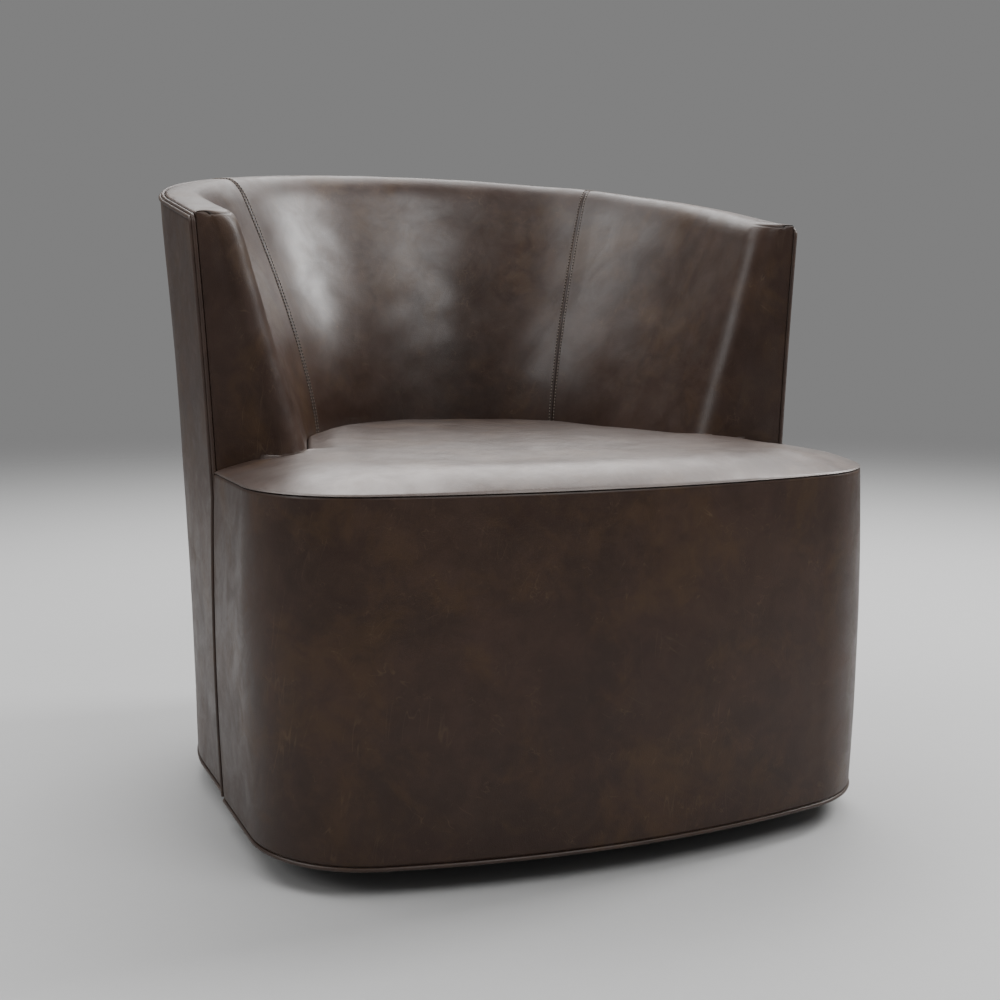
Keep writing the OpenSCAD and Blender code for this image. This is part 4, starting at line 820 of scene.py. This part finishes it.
seat_leather = finish("seat_leather", sat_on_leather, Specular_IOR_Level=0.7, Coat_Roughness=0.5,
                      Specular_Tint=(1.0, 0.93, 0.90, 1.0), Coat_Tint=(1.0, 0.97, 0.95, 1.0))
seat = mesh_piece("seat_cushion", seat_leather, [(seat_skin, seat_skin_marks, True)],
                  [seat_skin[0], seat_skin[-1]])
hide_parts("seat_cover", "seat_foam")
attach(seat, "chair")


# Front border: one wide panel of leather over padding, pulled round the block's front from arm to arm,
# sewn to the seat above and turned under at the hem.
def block_off(z):
    """Bulge of the block's front and sides below the seam, a square in the height, in mm."""
    return -0.0403 * (z - SEAT_SEAM) - 1.153e-4 * (z - SEAT_SEAM)**2


def front_wall(off, z):
    """Points of the block's front at heights z, each as far out of its outline as off says, in mm."""
    xy = front_points[:, None] + off[:, None] * front_normals[:, None]
    return np.concatenate([xy, np.broadcast_to(z[None, :, None], (*xy.shape[:2], 1))], -1)


BORDER_TOP, BORDER_DEEP = 417.5, 11
border_z = np.concatenate([HEM + np.array([0, 0.7, 1.6, 2.8, 4.4, 6.5]), np.linspace(45, 404, 116),
                           BORDER_TOP - np.array([10.5, 8, 6, 4.4, 3, 2, 1.1, 0.5, 0])])
tuck = sunk(BORDER_TOP - border_z, 1.1) + sunk(border_z - HEM, 1.2)
border_face = front_wall(block_off(border_z) - tuck, border_z)
front_along = length_along(front_points)
to_seam = np.minimum(BORDER_TOP - border_z, border_z - HEM)[None]
to_end = np.minimum(front_along, front_along[-1] - front_along)[:, None]
quiet = np.clip(to_seam / 30, 0, 1) * np.clip(to_end / 20, 0, 1)
face_normal = np.concatenate([front_normals, np.zeros((len(front_normals), 1))], 1)[:, None]
wave = 0.25 * ripple(border_face, 240, 21) + 0.08 * ripple(border_face, 90, 22)
border_face = border_face + face_normal * (wave * quiet - 0.9 * sunk(to_end, 1.1))[..., None]
inner_z = np.linspace(BORDER_TOP, HEM, 12)
border_back = front_wall(block_off(inner_z) - BORDER_DEEP, inner_z)
border_off = np.minimum(to_seam, to_end) + 0.5
border_marks = np.stack([border_off, front_along[:, None] + 0 * to_seam, 0 * border_off], -1)
border_loops = np.concatenate([border_face, border_back], 1)
border_marks = np.concatenate([border_marks, no_seam(len(border_loops), len(inner_z))], 1)
border = mesh_piece("front_border", dark_leather, [(border_loops, border_marks, True)],
                    [border_loops[0], border_loops[-1]])
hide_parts("border_cover", "border_padding")
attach(border, "chair")


# Outside: one panel of leather over thin padding from arm end to arm end, flared toward the rim.
# It is drawn tight from the welt at the top to the hem, so it hardly waves.
OUTER_DEEP = 8
side_runs = np.linspace(ARM_Y + EDGE_IN - BACK_Y, 0, 36)
outer_runs = np.concatenate([side_runs, np.linspace(0, BACK_R * np.pi, 330)[1:-1],
                             BACK_R * np.pi - side_runs[::-1]])
shares = np.concatenate([np.array([0, 0.001, 0.0025, 0.005, 0.009]), np.linspace(0.014, 0.984, 196),
                         1 - np.array([0.01, 0.0065, 0.004, 0.002, 0.001, 0])])
outer_top = (rim_edge(outer_runs)[1] - EDGE_IN)[:, None]
outer_z = HEM + (outer_top - HEM) * shares
from_ends = np.minimum(outer_z - HEM, outer_top - outer_z)
side_end = np.minimum(outer_runs - outer_runs[0], outer_runs[-1] - outer_runs)[:, None]
tuck = sunk(from_ends, 1.2) + 0.8 * sunk(side_end, 1.1)
outer_r = shell_r(outer_runs[:, None], outer_z) - tuck
outer_face = in_space(outer_runs[:, None], outer_r, outer_z)
calm = np.clip(from_ends / 30, 0, 1) * np.clip(side_end / 20, 0, 1)
wave = 0.28 * ripple(outer_face, 240, 31) + 0.08 * ripple(outer_face, 90, 32)
outer_face = in_space(outer_runs[:, None], outer_r + calm * wave, outer_z)
inner_z = HEM + (outer_top - HEM) * np.linspace(1, 0, 10)
outer_back = in_space(outer_runs[:, None], shell_r(outer_runs[:, None], inner_z) - OUTER_DEEP, inner_z)
outer_off = np.minimum(from_ends, side_end) + 0.4
outer_marks = np.stack([outer_off, outer_runs[:, None] + 0 * from_ends, 0 * from_ends], -1)
outer_loops = np.concatenate([outer_face, outer_back], 1)
outer_marks = np.concatenate([outer_marks, no_seam(*outer_back.shape[:2])], 1)
outside = mesh_piece("outside_panel", dark_leather, [(outer_loops, outer_marks, True)],
                     [outer_loops[0], outer_loops[-1]])
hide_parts("outside_cover", "outside_padding")
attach(outside, "chair")


# Welts: leather sewn round cord. A double welt closes the rim and runs down the front edge of each arm,
# and a single one finishes the hem.
BEAD_R, HEM_R, BEAD_SIDES = 2.3, 2.4, 12
GATHER = 9  # mm from stitch to stitch
ROUND_POINTS = 240  # on a bead's line round half the back


def tube(line, out, radius, sides, closed):
    """A round tube along a line: rings in the plane of the outward direction and its cross product with
    the line's own direction, gathered slightly at every stitch."""
    if closed:
        along = np.roll(line, -1, 0) - np.roll(line, 1, 0)
    else:
        along = np.gradient(line, axis=0)
    along /= np.linalg.norm(along, axis=1, keepdims=True)
    out = out - (out * along).sum(1, keepdims=True) * along
    out /= np.linalg.norm(out, axis=1, keepdims=True)
    up = np.cross(along, out)
    turn = np.linspace(0, 2 * np.pi, sides, endpoint=False)
    size = radius * (1 + 0.025 * np.sin(length_along(line) * 2 * np.pi / GATHER))
    rings = out[:, None] * np.cos(turn)[:, None] + up[:, None] * np.sin(turn)[:, None]
    grid = line[:, None] + rings * size[:, None, None]
    return np.concatenate([grid, grid[:1]]) if closed else grid


def bead_line(inward, drop, forward, bend):
    """Middle line of one bead of the double welt, right half: up the arm's front edge, round a small
    corner, and along the rim to the middle of the back."""
    side_runs = np.linspace(ARM_Y + forward + bend - BACK_Y, 0, 40)
    rim_runs = np.concatenate([side_runs, np.linspace(0, BACK_R * np.pi / 2, ROUND_POINTS)[1:]])
    radius, z = rim_edge(rim_runs)
    rim = in_space(rim_runs, radius - inward, z - drop)
    corner_z = rim[0, 2] - bend
    height = np.linspace(HEM + 0.5, corner_z, 250)
    swelled = np.where(height < SEAT_SEAM, np.maximum(flare(height), block_off(height)), flare(height))
    mix = np.clip((height - SEAT_SEAM + 40) / 60, 0, 1)
    swelled = swelled * (1 - mix) + flare(height) * mix
    edge = np.stack([side_x(ARM_Y) + swelled - inward, np.full_like(height, ARM_Y + forward), height], -1)
    q = np.linspace(0, np.pi / 2, 9)[1:-1]
    corner = np.stack([np.linspace(edge[-1, 0], rim[0, 0], 7), ARM_Y + forward + bend * (1 - np.cos(q)),
                       corner_z + bend * np.sin(q)], -1)
    return np.concatenate([edge, corner, rim])


welt_leather = finish("welt_leather", leather, Specular_IOR_Level=0.5)
grids, ends = [], []
# One bead lies on top of the edge and the other on its outside
for inward, drop, forward, bend in ((3.48, 0.6, 0.6, 8), (0.6, 3.48, 3.48, 5)):
    half = bead_line(inward, drop, forward, bend)
    line = np.concatenate([half, mirrored(half)[-2::-1]])
    facing = line * [1, 1, 0] - [0, BACK_Y, 0]
    straight = len(half) - ROUND_POINTS
    facing[:straight] = [1, 0, 0]
    facing[-straight:] = [-1, 0, 0]
    grid = tube(line, facing, BEAD_R, BEAD_SIDES, False)
    grids.append((grid, no_seam(*grid.shape[:2]), True))
    ends += [grid[0], grid[-1]]
rim_welt = mesh_piece("double_welt", welt_leather, grids, ends)
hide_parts("rim_welt", "arm_welts")
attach(rim_welt, "chair")

WELT_Z = 32.4
hem_runs = np.linspace(ARM_Y + 8 - BACK_Y, BACK_R * np.pi / 2, 270)
hem_half = in_space(hem_runs, shell_r(hem_runs, WELT_Z) - 1, WELT_Z)
hem_front = front_points + (block_off(WELT_Z) - 1) * front_normals
hem_front = np.concatenate([hem_front, np.full((len(hem_front), 1), WELT_Z)], 1)
hem_line = np.concatenate([hem_front, hem_half, mirrored(hem_half)[-2::-1]])
front_out = np.concatenate([front_normals, 0 * front_normals[:, :1]], 1)
half_out = in_space(hem_runs, 1.0, 0.0) - in_space(hem_runs, 0.0, 0.0)
hem_out = np.concatenate([front_out, half_out, mirrored(half_out)[-2::-1]])
grid = tube(hem_line, hem_out, HEM_R, BEAD_SIDES, True)
hem_welt = mesh_piece("hem_welt_cord", welt_leather, [(grid, no_seam(*grid.shape[:2]), True)])
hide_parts("hem_welt")
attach(hem_welt, "chair")


# Studio: a plain pale floor that melts into an even surround.
# Soft lamps hang above, to both sides and in front.
def pale_floor(s, place):
    """An even light grey with a faint speckle, fading out from 1.6 to 6 metres away."""
    speckle = s.noise(place, 40, 3)
    far = s.node("ShaderNodeVectorMath", {"operation": "LENGTH"}, {0: place}, output=1).step(1.6, 6.0)
    return {"Base Color": s.blend(speckle, (0.50, 0.50, 0.50), (0.52, 0.52, 0.52)),
            "Roughness": 0.7 + 0.02 * speckle, "Alpha": 1 - far}


FLOOR_R = 30  # m, far past where the floor has faded out
floor_mesh = bpy.data.meshes.new("floor")
angles = np.linspace(0, 2 * np.pi, 96, endpoint=False)
rim_points = np.stack([FLOOR_R * np.cos(angles), FLOOR_R * np.sin(angles), 0 * angles], -1)
floor_mesh.from_pydata(rim_points, [], [list(range(len(angles)))])
floor = bpy.data.objects.new("floor", floor_mesh)
bpy.context.scene.collection.objects.link(floor)
floor_mesh.materials.append(finish("pale_floor", pale_floor))

world = bpy.data.worlds.new("studio")
bpy.context.scene.world = world
world.use_nodes = True
world.node_tree.nodes.clear()
sky = Shade(world.node_tree)
surround = sky.node("ShaderNodeBackground", (), {"Color": (0.22, 0.22, 0.22, 1)})
sky.node("ShaderNodeOutputWorld", (), {0: surround})


def lamp(name, place, aim, size, power):
    """A soft rectangular lamp at a place in metres, turned to face a point."""
    data = bpy.data.lights.new(name, "AREA")
    data.shape = "RECTANGLE"
    data.size, data.size_y = size
    data.energy = power
    made = bpy.data.objects.new(name, data)
    bpy.context.scene.collection.objects.link(made)
    made.location = place
    made.visible_camera = False
    away = np.array(place) - np.array(aim)
    tilt = np.arctan2(np.hypot(away[0], away[1]), away[2])
    made.rotation_euler = (tilt, 0, np.arctan2(away[0], -away[1]))


lamp("overhead", (0.8, 1.7, 3.2), (0, -0.1, 0.4), (3.0, 3.0), 145)
lamp("top_left", (-1.6, 0.6, 3.0), (0, 0, 0.4), (1.8, 1.8), 40)
lamp("right_side", (2.6, 0.05, 2.4), (0, 0, 0.5), (0.7, 1.5), 78)
lamp("left_side", (-2.8, -0.5, 1.9), (0, 0, 0.6), (1.5, 1.2), 21)
lamp("front_fill", (0.9, -2.4, 3.3), (0, 0, 0.3), (2.0, 2.0), 66)
